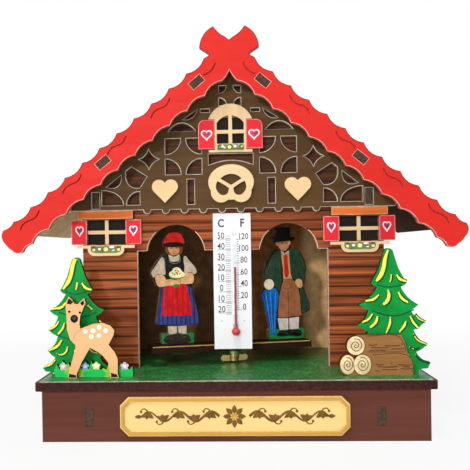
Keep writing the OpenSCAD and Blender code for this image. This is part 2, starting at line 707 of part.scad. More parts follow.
module adjuster_bush() color("#b08a3c") translate([0, pivot_y, ceiling_z]) difference() {
    union() {
        cylinder(r = bush_r, h = board + e);
        translate([0, 0, board]) cylinder(r = bush_r + 1.6, h = flange_t);
    }
    translate([0, 0, -1]) cylinder(d = spindle_d + 2 * run_gap, h = board + flange_t + 2);
}
knob_h = 5;
knob_grips = 16;
module adjuster_knob() color("#d6ac50") translate([0, pivot_y, 0]) difference() {
    union() {
        translate([0, 0, spindle_z]) cylinder(d = spindle_d, h = ceiling_z + board + flange_t + 1 - spindle_z);
        translate([0, 0, spindle_z + 0.3]) cylinder(r = bush_r - 0.2, h = 1.5);
        translate([0, 0, ceiling_z + board + flange_t + seat_gap]) difference() {
            cylinder(d = knob_d, h = knob_h);
            for (k = [0:knob_grips - 1]) rotate([0, 0, k * 360 / knob_grips])
                translate([knob_d / 2 + 0.3, 0, -1]) cylinder(r = 0.8, h = knob_h + 2);
        }
    }
    translate([0, 0, spindle_z - 1]) cylinder(d = gut_d + 2 * run_gap, h = gut_top + 0.2 - spindle_z + 1);
}

module figure(x) translate([x, figure_y + figure_t, beam_z]) rotate([90, 0, 0]) linear_extrude(figure_t) {
    children();
    translate([-figure_tab / 2, -board]) square([figure_tab, board + e]);
}
// The printed ground is a board with round corners, so wide and high
ground_r = 1;
function ground_left(w, h) = concat(
    arc(ground_r - w / 2, ground_r, ground_r, 270, 180, 4), arc(ground_r - w / 2, h - ground_r, ground_r, 180, 90, 4));
function ground_right(w, h) = concat(
    arc(w / 2 - ground_r, h - ground_r, ground_r, 90, 0, 4), arc(w / 2 - ground_r, ground_r, ground_r, 0, -90, 4));
// Outline of the woman, from the ground round her hat and back, drawn 51 high
woman_outline = concat(
    ground_left(15.8, ground_h),
    [[-4.4, ground_h], [-4.4, 8.9], [-9.7, 9], [-10, 10], [-7.6, 25.8], [-9.9, 26.9], [-10.7, 29.4],
        [-12.2, 31.2], [-11.8, 33.8], [-9.5, 37.8], [-6.5, 40.6], [-3.9, 41.4], [-4.8, 42.6], [-4.8, 44.1],
        [-6, 44.4], [-6, 45.9]],
    arc(-1.1, 46.1, 4.9, 175, 5, 12),
    [[4, 45.9], [4, 44.4], [2.6, 44.1], [2.6, 42.6], [1.5, 41.4], [3.6, 40.9], [6.6, 37.8], [8.8, 34.3],
        [9.4, 32.1], [8.2, 31], [8.2, 27.8], [7, 26.4], [10.6, 10], [10.2, 9], [4.6, 8.9], [4.6, ground_h]],
    ground_right(15.8, ground_h)
);
// Outline of the man with his coat tail and umbrella, drawn 52.9 high
man_outline = concat(
    ground_left(18.6, ground_h),
    [[-8.2, ground_h], [-12.4, 20.4], [-12.2, 22.4], [-11.2, 24.6], [-10.8, 27.2], [-11.1, 29.2],
        [-10.9, 32.6], [-9.7, 36.8], [-7, 41], [-3.7, 42.9], [-3.7, 46.2], [-6.6, 47.2], [-6.5, 48.6],
        [-5.5, 48.5], [-5.5, 52.5], [-1.7, 52.9], [2.2, 52.7], [2.3, 47.6], [4.6, 48.3], [4.7, 47.2],
        [2.5, 46.2], [2.4, 42.9], [5.4, 42.7], [7.4, 41.2], [9.6, 36.8], [10.2, 33.4], [9.5, 27],
        [8.5, 24.8], [11.8, 16.6], [11.7, 13.6], [9.9, 12.2], [7.6, 12], [7.6, 10.6], [6.7, 10.4], [6.7, ground_h]],
    ground_right(18.6, ground_h)
);
module woman_figure() color("#c83c3c") on_beam() figure(-woman_x) polygon(turned(sized(woman_outline, woman_h / 51)));
module man_figure() color("#2c5a40") on_beam() figure(man_x) polygon(turned(sized(man_outline, man_h / 52.9)));

// What stands in the yard

module yard_piece(x, y) translate([x, 0, 0]) upright(y, board) {
    translate([-tree_tab / 2, base_h]) square([tree_tab, grass_z - base_h + e]);
    translate([0, grass_z]) children();
}
// Half width of the tree's tiers at their heights, for a tree 50 high and 29.8 wide
tiers = [[6.9, 36.1], [4.6, 34.5], [11.6, 27.6], [8.1, 25.2], [12.3, 19.5], [8.3, 16.7], [12.7, 10.7],
    [9.5, 7.7], [14.9, 3.4]];
// The right tree reaches farther out on its right, and stands a little towards the house
far_tiers = [[7, 36.2], [4.6, 34.5], [11.3, 27.4], [8.3, 25.2], [14, 20.6], [9.4, 17.2], [14.7, 11.5],
    [10.3, 8.4], [15.8, 4.3]];
function tree_half(t) = concat(
    [for (a = [90:-20:10]) [1.9 * cos(a), 48.1 + 1.9 * sin(a)]],
    [[2.3, 46.9], [2.9, 45], [3.8, 42], [5.4, 38.8]],
    [for (i = [0:2:6]) each concat(bow(t[i], t[i + 1], 0.3, 2), bow(t[i + 1], t[i + 2], -0.9, 4))],
    [t[8], [t[8][0] - 1.1, 1.9], [11.4, 1.6], [11.1, 0]]
);
module tree(side, h, w, far, lean) color("#109a50") yard_piece(side * tree_x, front_y + tree_set)
    polygon([for (p = turned(concat(tree_half(far), mirrored(tree_half(tiers))))) [(p[0] + lean) * w / 29.8, p[1] * h / 50]]);
module tree_left() tree(-1, tree_left_h, tree_left_w, tiers, 0);
module tree_right() tree(1, tree_right_h, tree_right_w, far_tiers, -1.2);
// Tufts of the meadow, drawn 33.3 wide
meadow_outline = concat(
    [[18.9, 0]],
    [for (i = [13:-1:0]) each [[-13.2 + i * 2.45, 5.4 + 1.7 * sin(i * 80)], [-14.4 + i * 2.45, 3.1]]],
    [[-13.8, 0]]
);
module meadow() color("#3fae4a") yard_piece(deer_x, meadow_y) polygon(sized(meadow_outline, meadow_w / 33.3));
// Outline of the deer, drawn 33.9 high
deer_outline = [
    [-7.7, 0], [-7.5, 2], [-7, 4], [-4.8, 11.3], [-4.4, 13.6], [-6.7, 16.1], [-7.9, 20.2], [-8, 25.4],
    [-8.3, 29.4], [-8.3, 31.4], [-6.9, 33.9], [-5.4, 32.3], [-4.5, 30.7], [-3, 30.7], [-1.9, 32],
    [-0.4, 33.1], [0, 31.2], [-0.9, 29], [-2.3, 25.9], [-2.7, 22.4], [-2.3, 20.5], [3.1, 22.5],
    [7.1, 22.8], [10.2, 21.6], [11.8, 19.7], [11.4, 17.6], [9.3, 13.8], [11.8, 10.7], [13, 7.9],
    [12.9, 1.6], [13.4, 0.6], [13.2, 0], [9.9, 0], [9.6, 2.4], [9, 6.5], [6.8, 9.3], [5.1, 10.7],
    [1.6, 12.6], [-1.9, 6.8], [-4.2, 1.7], [-4, 0]
];
deer_lift = 0.1;
module deer() color("#f5cd96") translate([deer_x, 0, grass_z + deer_lift]) upright(meadow_y - board, board)
    polygon(sized(deer_outline, deer_h / 33.9));
module log_pile() color("#91603c") yard_piece(log_x, front_y + log_set) scale([log_h / 16.7, log_h / 16.7]) {
    translate([-8.6, 12.3]) circle(3.9);
    translate([-12, 4.3]) scale([0.8, 1]) circle(4.2);
    translate([-6.1, 4.4]) scale([0.9, 1]) circle(4.4);
    polygon([[-8.6, 8.4], [12.3, 8.4], [12, 10.6], [11.2, 13.6], [9.7, 16.7], [-8.6, 16.7]]);
    polygon([[-6.1, 0], [14.4, 0], [14.6, 2.6], [14.1, 5.6], [12.6, 8.9], [-6.1, 8.9]]);
    translate([-12, 0]) square([8, 6]);
}

base_front();
base_back();
base_end_left();
base_end_right();
base_rib_left();
base_rib_right();
deck();
grass_sheet();
nameplate();
front_wall();
back_wall();
side_wall_left();
side_wall_right();
ceiling_plate();
roof_panel_left();
roof_panel_right();
bargeboard();
fretwork_panel();
gable_pretzel();
gable_heart_left();
gable_heart_right();
gable_window();
gable_shutter_left();
gable_shutter_right();
gable_pane();
gable_flowers();
left_lintel();
left_cross();
left_pane();
left_sill();
left_inner_shutter();
left_outer_shutter();
right_lintel();
right_cross();
right_pane();
right_sill();
right_inner_shutter();
right_outer_shutter();
thermometer_card();
thermometer_tube();
spirit_column();
adjuster_bush();
adjuster_knob();
gut_cord();
beam();
beam_bolt();
beam_washer();
wing_nut();
woman_figure();
man_figure();
tree_left();
tree_right();
deer();
meadow();
log_pile();
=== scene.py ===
import json
import math

import bpy
from bpy.props import FloatProperty, FloatVectorProperty, PointerProperty
from mathutils import Matrix, Vector

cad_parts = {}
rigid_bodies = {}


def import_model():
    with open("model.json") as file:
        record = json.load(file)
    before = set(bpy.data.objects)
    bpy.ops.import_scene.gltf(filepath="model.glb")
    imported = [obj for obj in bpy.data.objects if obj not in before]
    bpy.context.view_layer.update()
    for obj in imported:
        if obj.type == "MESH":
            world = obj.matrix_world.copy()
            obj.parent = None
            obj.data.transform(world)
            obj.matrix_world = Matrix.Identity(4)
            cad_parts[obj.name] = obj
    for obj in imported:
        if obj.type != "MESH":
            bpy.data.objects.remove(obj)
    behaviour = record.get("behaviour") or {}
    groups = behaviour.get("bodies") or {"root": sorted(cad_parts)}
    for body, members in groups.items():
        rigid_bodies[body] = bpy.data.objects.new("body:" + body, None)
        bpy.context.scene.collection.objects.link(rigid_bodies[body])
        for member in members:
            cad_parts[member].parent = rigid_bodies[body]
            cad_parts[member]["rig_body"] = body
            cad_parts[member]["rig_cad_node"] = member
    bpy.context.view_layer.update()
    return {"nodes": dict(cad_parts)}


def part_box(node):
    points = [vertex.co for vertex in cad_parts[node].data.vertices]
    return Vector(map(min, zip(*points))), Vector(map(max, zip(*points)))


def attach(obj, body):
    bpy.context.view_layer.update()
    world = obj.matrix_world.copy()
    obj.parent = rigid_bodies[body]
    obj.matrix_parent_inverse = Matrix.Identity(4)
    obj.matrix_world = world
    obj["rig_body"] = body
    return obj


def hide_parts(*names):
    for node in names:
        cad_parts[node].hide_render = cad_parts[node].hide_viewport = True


bl_info = {
    "name": "Chalet Weather House",
    "version": (1, 0, 0),
    "blender": (4, 5, 0),
    "location": "View3D > Sidebar > Weather House",
    "description": "Dresses the packed chalet weather house in its prints, paints, glass and brass",
    "category": "Object",
}

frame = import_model()
MM = 0.001
# Vertices nearer than this become one
MERGE = 0.002 * MM
# How deep a print reaches into its board, in millimetres
SINK = 0.02


def srgb(red, green, blue):
    """A colour as it looks on screen, 0 to 255, as linear light."""
    return tuple(((c / 255 + 0.055) / 1.055) ** 2.4 if c > 10 else c / 255 / 12.92 for c in (red, green, blue))


def paint_property(name, description, seen):
    return FloatVectorProperty(
        name=name, description=description, subtype="COLOR", size=3, min=0, max=1, default=srgb(*seen)
    )


def lamp_property(name, description, power):
    return FloatProperty(name=name, description=description, unit="POWER", default=power, min=0)


class WeatherHousePaints(bpy.types.PropertyGroup):
    """The main colours of the weather house."""

    bargeboard: paint_property("Bargeboard", "Red of the bargeboard", (211, 43, 36))
    shutters: paint_property("Shutters", "Red of the shutters", (226, 44, 54))
    fretwork: paint_property("Fretwork", "Dark brown of the fretwork", (91, 64, 34))
    planks: paint_property("Planks", "Reddish brown of the plank wall", (158, 78, 41))
    plank_lines: paint_property("Plank lines", "Dark lines between the planks", (50, 24, 14))
    base: paint_property("Base", "Stain of the base box", (102, 57, 45))
    deck: paint_property("Deck", "Stain of the deck's edge", (35, 15, 8))
    raw_board: paint_property("Raw board", "Bare fibreboard", (196, 150, 104))
    grass: paint_property("Grass", "Green of the grass sheet", (46, 124, 62))
    pale_wood: paint_property("Pale wood", "Pretzel, window and sills", (236, 203, 156))
    heart_wood: paint_property("Heart wood", "Hearts on the gable", (239, 200, 148))
    lintel: paint_property("Lintel", "Orange brown of the lintels", (232, 118, 50))
    gold: paint_property("Gold", "Rim of the nameplate", (206, 156, 66))
    tree: paint_property("Trees", "Green of the trees", (10, 148, 58))
    deer: paint_property("Deer", "Fawn of the deer", (240, 180, 129))
    logs: paint_property("Logs", "Brown of the log pile", (158, 111, 63))
    beam: paint_property("Beam", "Dark wood of the beam", (46, 24, 18))


class WeatherHouseSizes(bpy.types.PropertyGroup):
    """Sizes of what is printed and painted on the boards."""

    outline_width: FloatProperty(
        name="Outline width", description="Width of the pale line round the fretwork's cuts", unit="LENGTH",
        default=0.34 * MM, min=0.1 * MM, max=0.8 * MM,
    )


class WeatherHouseStudio(bpy.types.PropertyGroup):
    """Light and lens of the photograph."""

    key_power: lamp_property("Key lamp", "Power of the lamp at the upper left", 3.1)
    low_power: lamp_property("Low lamp", "Power of the lamp that looks in at the doors", 1.5)
    top_power: lamp_property("Top lamp", "Power of the lamp above the front", 2.6)
    fill_power: lamp_property("Fill lamp", "Power of the lamp at the left", 0.5)
    room_light: FloatProperty(
        name="Room light", description="Strength of the light from all round", default=0.28, min=0,
    )
    focal_length: FloatProperty(
        name="Focal length", description="Lens of the camera", subtype="DISTANCE_CAMERA", default=59.09, min=10,
    )


# The colours of the printed inks, as they look on screen

INKS = {
    "face": (214, 148, 100), "flesh": (226, 172, 124), "pale_hand": (248, 226, 192), "linen": (198, 180, 156),
    "sock": (222, 208, 202), "hat_red": (206, 38, 34), "black": (20, 16, 15), "hair_brown": (128, 68, 34),
    "bodice_green": (16, 26, 20), "pale_edge": (150, 150, 130), "cream": (246, 232, 178), "leaf_green": (66, 128, 52),
    "flower_red": (192, 40, 34), "apron_red": (214, 28, 30), "apron_shade": (172, 26, 34),
    "skirt_blue": (56, 68, 128), "skirt_shade": (34, 40, 92), "shoe_brown": (48, 36, 28), "shoe_shade": (90, 76, 56),
    "arm_shade": (176, 112, 72), "mouth_red": (176, 70, 58), "nose_tone": (214, 140, 104),
    "ear_tone": (224, 160, 120), "dark_line": (26, 20, 16), "ground_green": (34, 128, 60), "coat_green": (46, 70, 50),
    "coat_shade": (12, 34, 24), "coat_light": (56, 116, 88), "tan": (216, 176, 120), "tie_red": (216, 44, 26),
    "breeches": (170, 106, 70), "umbrella_blue": (14, 108, 196), "umbrella_dark": (14, 62, 138),
    "umbrella_light": (70, 160, 236), "hat_light": (110, 112, 104), "tree_light": (250, 250, 90),
    "tree_line": (14, 84, 44), "tier_line": (10, 92, 58), "olive": (128, 144, 92), "olive_line": (84, 92, 60),
    "white": (250, 248, 240), "petal_yellow": (236, 236, 148), "petal_pink": (232, 186, 190),
    "petal_blue": (128, 186, 226), "petal_lilac": (218, 196, 224), "seed_red": (140, 62, 50), "spot": (255, 246, 230),
    "hoof": (30, 22, 18), "nose_brown": (74, 62, 54), "fawn_line": (206, 158, 104), "log_cream": (244, 216, 168),
    "log_ring": (92, 66, 36), "bark": (96, 58, 34), "heart_pink": (206, 58, 92), "heart_plum": (160, 52, 98),
    "heart_white": (252, 238, 232), "barge_line": (112, 24, 26), "arch_edge": (224, 184, 160),
    "beam_edge": (196, 158, 86), "scale_grey": (66, 64, 64), "scale_pale": (120, 118, 118),
    "tube_bed": (236, 236, 240), "ornament": (120, 84, 36), "barge_edge": (240, 150, 140),
    "fret_edge": (206, 194, 172), "shutter_edge": (232, 150, 142),
}

# Two of them fall in folds: how far apart these are, and their darker colour
FOLDS = {"apron_red": (2.3 * MM, INKS["apron_shade"]), "skirt_blue": (2 * MM, INKS["skirt_shade"])}

# The drawings, in millimetres on the board's face: x across it and then the height above its foot, in turn.
# A field is (name, ink, height, rounded, outlines) and a set of lines (name, ink, width, height, paths).

WOMAN_PRINT = (
    ("ground", "ground_green", 0.06, False, (-7.6, 0.4, -7, 0.2, 7, 0.2, 7.6, 0.4, 7.6, 4.5, 7.1, 4.9, -7.1, 4.9,
        -7.6, 4.5)),
    ("shoes", "shoe_brown", 0.1, True, (-6.6, 1.4, -6.2, 2.9, -4.6, 4, -3.6, 4.2, -1.6, 4.6, 0.1, 4.7, 2.1, 4.2,
        4.1, 4.2, 5.3, 3.4, 6.1, 2, 6.2, 1)),
    ("sock_left", "linen", 0.14, False, (-4.6, 8.3, -0.3, 8.1, -0.3, 5.2, -1.1, 4.8, -3.8, 4.4, -4.4, 5.2)),
    ("sock_right", "linen", 0.14, False, (0.2, 8.1, 4.2, 8.2, 4.1, 4.6, 2.9, 4.5, 0.3, 5.2)),
    ("skirt", "skirt_blue", 0.1, False, (-7.2, 25.9, 5.2, 26.2, 6.9, 25.3, 7.8, 21.7, 8.8, 17.3, 9.9, 12.5, 10.3, 9.9,
        9.5, 8.9, 6.6, 8.5, 2.5, 8.2, -0.7, 8.6, -3.9, 8.9, -7.1, 9, -9.9, 9.4, -9.6, 12, -8.8, 16.7, -7.9, 21.8)),
    ("apron", "apron_red", 0.16, False, (-5.8, 25.9, -4.4, 26.6, -2, 26.7, 1, 26.9, 2.2, 27.3, 4.3, 27.2, 4.8, 25,
        5.8, 21.4, 6.3, 17.8, 6.8, 14.2, 6.7, 12.8, 4.2, 13.1, 1.8, 12.7, -1.4, 13.1, -4.2, 13, -6, 12.9, -7.2, 13.3,
        -7, 17.8, -6.5, 22.5, -6.2, 24.9)),
    ("bodice", "bodice_green", 0.1, False, (-5.6, 40.2, -4, 40.6, -3.2, 37.8, -1, 37.4, 1.2, 37.6, 1.8, 40.1,
        3.2, 40.1, 3.6, 36.9, 3.8, 31.7, 1.7, 29.7, -3.4, 29.9, -5.6, 30.1, -5.7, 34.7, -5.9, 37.8)),
    ("collar", "linen", 0.14, False, (-3.9, 41, -3, 40.7, -1.4, 40, -0.2, 40.2, 0.8, 40.9, 1.4, 40.9, 1.3, 39.3,
        1.1, 37.9, -1, 37.6, -3, 37.9, -3.3, 39.4)),
    ("hair_left", "hair_brown", 0.1, True, (-4.9, 44.4, -3.8, 44.3, -3.8, 43.1, -3.2, 41.7, -3.6, 41.3, -4.5, 41.8,
        -5.1, 43.1)),
    ("hair_right", "hair_brown", 0.1, True, (1.1, 44.3, 2.7, 44.3, 2.9, 43, 2.5, 41.7, 1.4, 41.2, 1, 41.7, 1.5, 43)),
    ("face", "face", 0.13, True, (-3.7, 44.2, 0.9, 44.3, 1.4, 43.2, 1.2, 42, 0.6, 41.3, -0.4, 40.7, -1.6, 40.6,
        -2.8, 41.1, -3.4, 42.1, -3.8, 43.3)),
    ("brim", "black", 0.2, True, (-6.2, 46, -3.7, 46.4, -1.1, 46.5, 1.5, 46.3, 3.8, 46, 3.6, 45.4, 2.7, 44.7,
        0.7, 44.4, -3.3, 44.4, -5.5, 44.8, -6.2, 45.3)),
    ("hat", "hat_red", 0.24, True, (-5.9, 46.3, -5.6, 47.3, -4.9, 48.7, -4.4, 49.8, -3.2, 50.7, -1.4, 51, 0.2, 51,
        1.8, 50.5, 2.6, 49.5, 3, 48.5, 3.4, 47.5, 3.7, 46.2, 1.5, 46.5, -1.1, 46.6, -3.7, 46.5)),
    ("sleeve_left", "linen", 0.16, True, (-6.5, 39.7, -5.9, 38.6, -5.7, 35.5, -5.6, 31.9, -6.5, 31.8, -8.5, 32.1,
        -9.7, 31.7, -10.7, 30.7, -11.5, 31.6, -11.9, 32.8, -10.9, 34.4, -9.4, 36.5, -8, 38.5)),
    ("sleeve_right", "linen", 0.16, True, (3.5, 40, 4.1, 40.2, 5.4, 38.6, 7, 36.8, 8.6, 34.8, 9.2, 33.6, 9, 32.2,
        7.8, 31.8, 7, 32.6, 5.4, 32.7, 3.8, 32.5, 3.6, 35.3, 3.3, 37.7)),
    ("arm_left", "flesh", 0.14, True, (-9.9, 31.3, -8.5, 31.9, -6.5, 31.6, -5.6, 30.7, -5.2, 29.9, -2.8, 29.6,
        -0.4, 29.3, 1.5, 29.7, 1.6, 27.8, 1, 27, -2, 26.8, -4.4, 26.7, -6.4, 26.4, -8.2, 26.3, -9.2, 27.1, -9.8, 28.9,
        -10.1, 30.5)),
    ("arm_right", "flesh", 0.15, True, (3.9, 32.4, 5.4, 32.5, 7, 32.3, 7.8, 31.2, 7.9, 29.3, 7.5, 27.7, 6.1, 27.4,
        4.1, 27.3, 2.4, 27.5, 1.8, 27.4, 1.7, 29.6, 2.6, 30.2, 3.8, 31.1)),
    ("posy", "cream", 0.2, True, (-3.6, 31.5, -3.5, 32.7, -2.5, 33.4, -1.3, 34.8, 0.1, 35.1, 1.5, 34.5, 2.5, 33.1,
        3.5, 32.5, 3.7, 31.3, 2.1, 30.5, -1.9, 30.4, -3.1, 30.9)),
    ("posy_leaves", "leaf_green", 0.18, True, (-3.3, 31, -2.1, 31.2, -0.3, 30.8, 1.7, 31.2, 2.9, 31.8, 3.7, 32.1,
        3.5, 30.9, 2.1, 30, 0.1, 29.5, -2, 29.7, -3.2, 30.2)),
    ("leaf", "leaf_green", 0.18, True, (-1.8, 26.7, 1.2, 26.7, 0.8, 25.9, -0.4, 25.7, -1.4, 26)),
)

MAN_PRINT = (
    ("ground", "ground_green", 0.06, False, (-9, 0.4, -8.5, 0.2, 8.5, 0.2, 9, 0.4, 9, 4.5, 8.6, 4.9, -8.6, 4.9,
        -9, 4.5)),
    ("shoes", "black", 0.14, True, (-5.1, 1.9, -4.4, 3.1, -3.4, 3.9, -0.3, 3.9, 1, 4.5, 2.7, 4.3, 4, 4.4, 5.7, 4.3,
        7.2, 3.4, 7.4, 2, 6.5, 1.3, 1.8, 1.5, -1.2, 1.5, -3.8, 1.5)),
    ("sock_left", "sock", 0.12, False, (-4.5, 10, 0.8, 9.8, 0.7, 4.6, -3.6, 4.4, -4, 6.7)),
    ("sock_right", "sock", 0.12, False, (1.3, 9.9, 6.2, 10.4, 6, 4.8, 2.9, 4.6, 1.3, 4.7)),
    ("tail", "coat_green", 0.1, True, (7.3, 23.8, 8.5, 23.5, 9.5, 21.8, 10.7, 19.3, 11.6, 16.4, 11.5, 14.7,
        10.2, 13.1, 8, 12.2, 7.6, 13.6, 7.3, 17.8, 6.9, 21.9)),
    ("breeches", "breeches", 0.14, False, (-1.4, 28.4, 3, 28.4, 4.3, 27.3, 4.7, 25.6, 6, 23.9, 6.8, 19.8, 7.2, 13.7,
        7.6, 11, 4.1, 10.7, 1.5, 10.6, 1, 10.2, -4.1, 10.4, -4.1, 14, -3.5, 20.1, -2.8, 23.4, -2.2, 25.8, -1.6, 27)),
    ("waistcoat", "tan", 0.1, False, (-2.3, 39.8, 1.7, 40.2, 1.9, 35.9, 2.2, 31, 3.1, 28.6, -1.4, 28.5, -1.4, 32.7,
        -1.9, 36.8)),
    ("tie", "tie_red", 0.18, True, (-1, 39.9, -0.4, 40.3, 0.4, 39.9, 0.8, 37.1, 1.2, 33.4, 1.3, 30.6, 0.2, 29.1,
        -0.8, 30.6, -1, 34.3, -1.2, 37.6)),
    ("collar", "linen", 0.2, False, (-2.6, 41.9, -1.7, 41.7, -0.7, 40.7, 0.7, 41.6, 1.5, 42.1, 1.6, 40.4, 0.4, 40.2,
        -0.7, 39.8, -1.6, 39.5, -2.3, 40.4)),
    ("coat_left", "coat_green", 0.2, True, (-3, 41.9, -4.9, 41.3, -7.1, 39.7, -8.2, 37.3, -9.3, 34.9, -10.2, 32.9,
        -10.7, 30.9, -10.7, 28.6, -8.8, 28.3, -6.6, 28.3, -5.8, 27.5, -5.6, 25.1, -4.8, 24.2, -3.5, 23, -2.4, 26.2,
        -1.8, 29.4, -1.6, 32.3, -1.9, 36, -2.4, 39.2, -2.7, 40.9)),
    ("coat_right", "coat_green", 0.2, True, (2, 42.7, 3.3, 42.9, 5.4, 42.3, 6.9, 41.3, 8, 39, 9, 36.2, 10.2, 33.9,
        9.8, 30.8, 9.5, 27.5, 8.9, 25.9, 8, 27.6, 6.1, 28.4, 4.3, 28.1, 3.1, 29.9, 2.2, 32.6, 1.9, 35.9, 1.8, 39.1)),
    ("face", "face", 0.14, True, (-4.9, 45.5, -2.9, 46, 0.7, 46.3, 2.2, 46.3, 2.1, 44.9, 1.4, 43.6, 0.7, 42.6,
        -0.6, 41.9, -1.9, 42, -3, 42.9, -3.6, 44, -4.8, 44.6)),
    ("brim", "black", 0.22, True, (-6.5, 45.9, -6.4, 46.6, -4.9, 46.9, -0.6, 47.2, 2, 48, 2.7, 48.2, 4.4, 48.3,
        4.6, 47.8, 3.5, 46.9, 2, 46.5, -1.4, 46.3, -4.9, 46)),
    ("crown", "black", 0.24, False, (-5.2, 52.7, 1.9, 52.9, 2.1, 50.6, 2.1, 48, -0.6, 47.3, -5.3, 46.9, -4.9, 49.8)),
    ("umbrella", "umbrella_blue", 0.22, True, (-11.6, 22.6, -10.7, 23.6, -8, 23.7, -5.6, 24.2, -4.6, 23, -3.9, 21.4,
        -4.2, 18.1, -4.9, 13.2, -5.4, 8, -5.7, 4.3, -6.2, 1.9, -7.2, 1.9, -8.3, 4.8, -9.5, 10.2, -10.5, 14.2,
        -11.5, 18.3, -12.3, 20.8)),
    ("hand_right", "flesh", 0.24, True, (4.5, 27.2, 5.9, 28.4, 7.4, 27.9, 8.1, 26.3, 7.8, 24.5, 6.7, 24, 5.4, 25,
        4.7, 26)),
    ("hand_left", "pale_hand", 0.26, True, (-6.1, 26.2, -6.6, 27.6, -7.8, 28.5, -9.4, 28.5, -10.6, 27.6, -11.1, 26.2,
        -10.6, 24.7, -9.4, 23.8, -7.8, 23.8, -6.6, 24.7)),
)

WOMAN_LINES = (
    ("eyes", "dark_line", 0.5, 0.2, (-2.9, 43.8, -2.1, 43.9), (-0.3, 43.9, 0.5, 43.9)),
    ("brows", "hair_brown", 0.25, 0.19, (-3.1, 44.2, -2.5, 44.3, -1.9, 44.2), (-0.5, 44.2, 0.1, 44.3, 0.7, 44.1)),
    ("mouth", "mouth_red", 0.36, 0.19, (-1.7, 41.6, -1, 41.4, -0.2, 41.6)),
    ("nose", "nose_tone", 0.3, 0.19, (-1.1, 43.3, -1.3, 42.5, -0.9, 42.3)),
    ("flower", "flower_red", 0.95, 0.28, (-0.9, 33.5, -0.3, 33.8), (0.3, 33.6, 0.8, 33.2), (0.2, 32.7, 0.1, 31.6),
        (-0.5, 32.9, -0.1, 32.5)),
    ("flower_leaves", "leaf_green", 0.6, 0.27, (-2.3, 32.6, -1.4, 31.8), (-1.2, 31.5, -0.8, 32.2), (1.1, 31.8,
        1.7, 32.4)),
    ("bodice_edges", "pale_edge", 0.28, 0.14, (-5.6, 39.4, -5.5, 36.3, -5.4, 31.5), (3.4, 39.2, 3.7, 35.7, 3.7, 33.3),
        (-3.6, 40.2, -3, 37.6, 1.2, 37.5, 1.7, 40.1)),
    ("apron_folds", "apron_shade", 0.5, 0.2, (-3.2, 26, -3.7, 19.7, -4, 13.8), (-0.4, 26.1, -0.3, 19.6, -0.2, 13.7),
        (2.4, 26.4, 3.1, 20.3, 3.4, 13.9), (-4.8, 24.9, -5.5, 19.8, -5.8, 14.3)),
    ("skirt_folds", "skirt_shade", 0.7, 0.14, (6.8, 24.5, 8, 17.4, 8.2, 9.8), (-7.2, 24.9, -7.9, 17.9, -8.5, 10.4),
        (-4.2, 12, -4.5, 9.4), (-0.2, 11.9, -0.3, 9.1), (4.2, 11.9, 4.6, 9.1)),
    ("sock_line", "dark_line", 0.3, 0.18, (0, 8.1, -0.1, 5)),
    ("shoe_lines", "shoe_shade", 0.4, 0.14, (-5.6, 2.5, -4, 2.7, -2.4, 2.1), (2, 2.7, 3.7, 3.2, 5.3, 2.3)),
    ("arm_lines", "arm_shade", 0.3, 0.2, (-5.6, 29.8, -2.8, 29, 1.3, 29.3), (1.7, 29.8, 1.5, 27.4)),
)

MAN_LINES = (
    ("eyes", "dark_line", 0.5, 0.2, (-2, 45.3, -1.2, 45.3), (0.1, 45.4, 0.9, 45.4)),
    ("brows", "hair_brown", 0.25, 0.19, (-2.3, 45.7, -1.7, 45.8, -1, 45.7), (-0.1, 45.8, 0.6, 46, 1.2, 45.8)),
    ("mouth", "mouth_red", 0.36, 0.19, (-1.5, 43, -0.6, 42.8, 0.2, 43)),
    ("nose", "nose_tone", 0.3, 0.19, (-0.5, 44.9, -0.7, 44.1, -0.3, 43.9)),
    ("ears", "ear_tone", 0.6, 0.19, (-4.7, 45, -4.1, 44.5), (1.7, 45.3, 1.4, 44.5)),
    ("hair", "hair_brown", 0.7, 0.18, (-4, 44, -3.4, 43.1, -2.8, 42.5), (1.9, 44.7, 1.4, 43.4, 0.8, 42.6)),
    ("breeches_lines", "dark_line", 0.32, 0.2, (0.8, 24, 1, 17.9, 1, 10.3), (-1.4, 24.6, -0.7, 24, 0.7, 23.7,
        1.9, 24.2, 2.2, 24.6)),
    ("coat_lines", "coat_shade", 0.34, 0.26, (-5, 36, -5.3, 30.3, -5.7, 27.8), (-4.9, 40.9, -3.1, 36, -2.4, 30.3,
        -3, 24.2), (5.4, 39.5, 4.8, 35.8, 5.5, 32.1, 7.9, 28.2), (2.7, 42, 3.6, 35.9, 4.4, 30.5)),
    ("coat_lights", "coat_light", 0.3, 0.26, (-6.6, 39.3, -7.8, 36.5, -8.9, 32.8), (-3.7, 39.7, -3.4, 36, -3.1, 31.9),
        (7.9, 37.4, 9.2, 33.7)),
    ("umbrella_folds", "umbrella_dark", 0.75, 0.27, (-9.3, 22.1, -8.4, 12.1, -7.4, 4), (-6.9, 21, -6.8, 12.1,
        -6.6, 2.5), (-11.2, 21.8, -9.8, 13.8, -8.4, 6.1)),
    ("umbrella_lights", "umbrella_light", 0.5, 0.27, (-10.3, 22.1, -9.1, 13.4, -7.8, 4.8), (-8, 22.3, -7.6, 12.5,
        -7, 3.2), (-5.6, 22.2, -5.9, 12.9, -6.4, 3.1)),
    ("sock_line", "dark_line", 0.3, 0.16, (1, 9.8, 1, 4.5)),
    ("hat_edge", "hat_light", 0.34, 0.28, (-5.2, 52.3, -5, 49.7)),
    ("hand_lines", "arm_shade", 0.3, 0.3, (5.8, 27.4, 6.7, 26.4, 7.3, 24.9)),
    ("shoe_lines", "shoe_shade", 0.36, 0.18, (-4, 3, -1.6, 3.3, 0.5, 2.5), (2, 3.4, 4.4, 3.6, 6.6, 2.7)),
)

# On the trees each light is a row of x, height and width

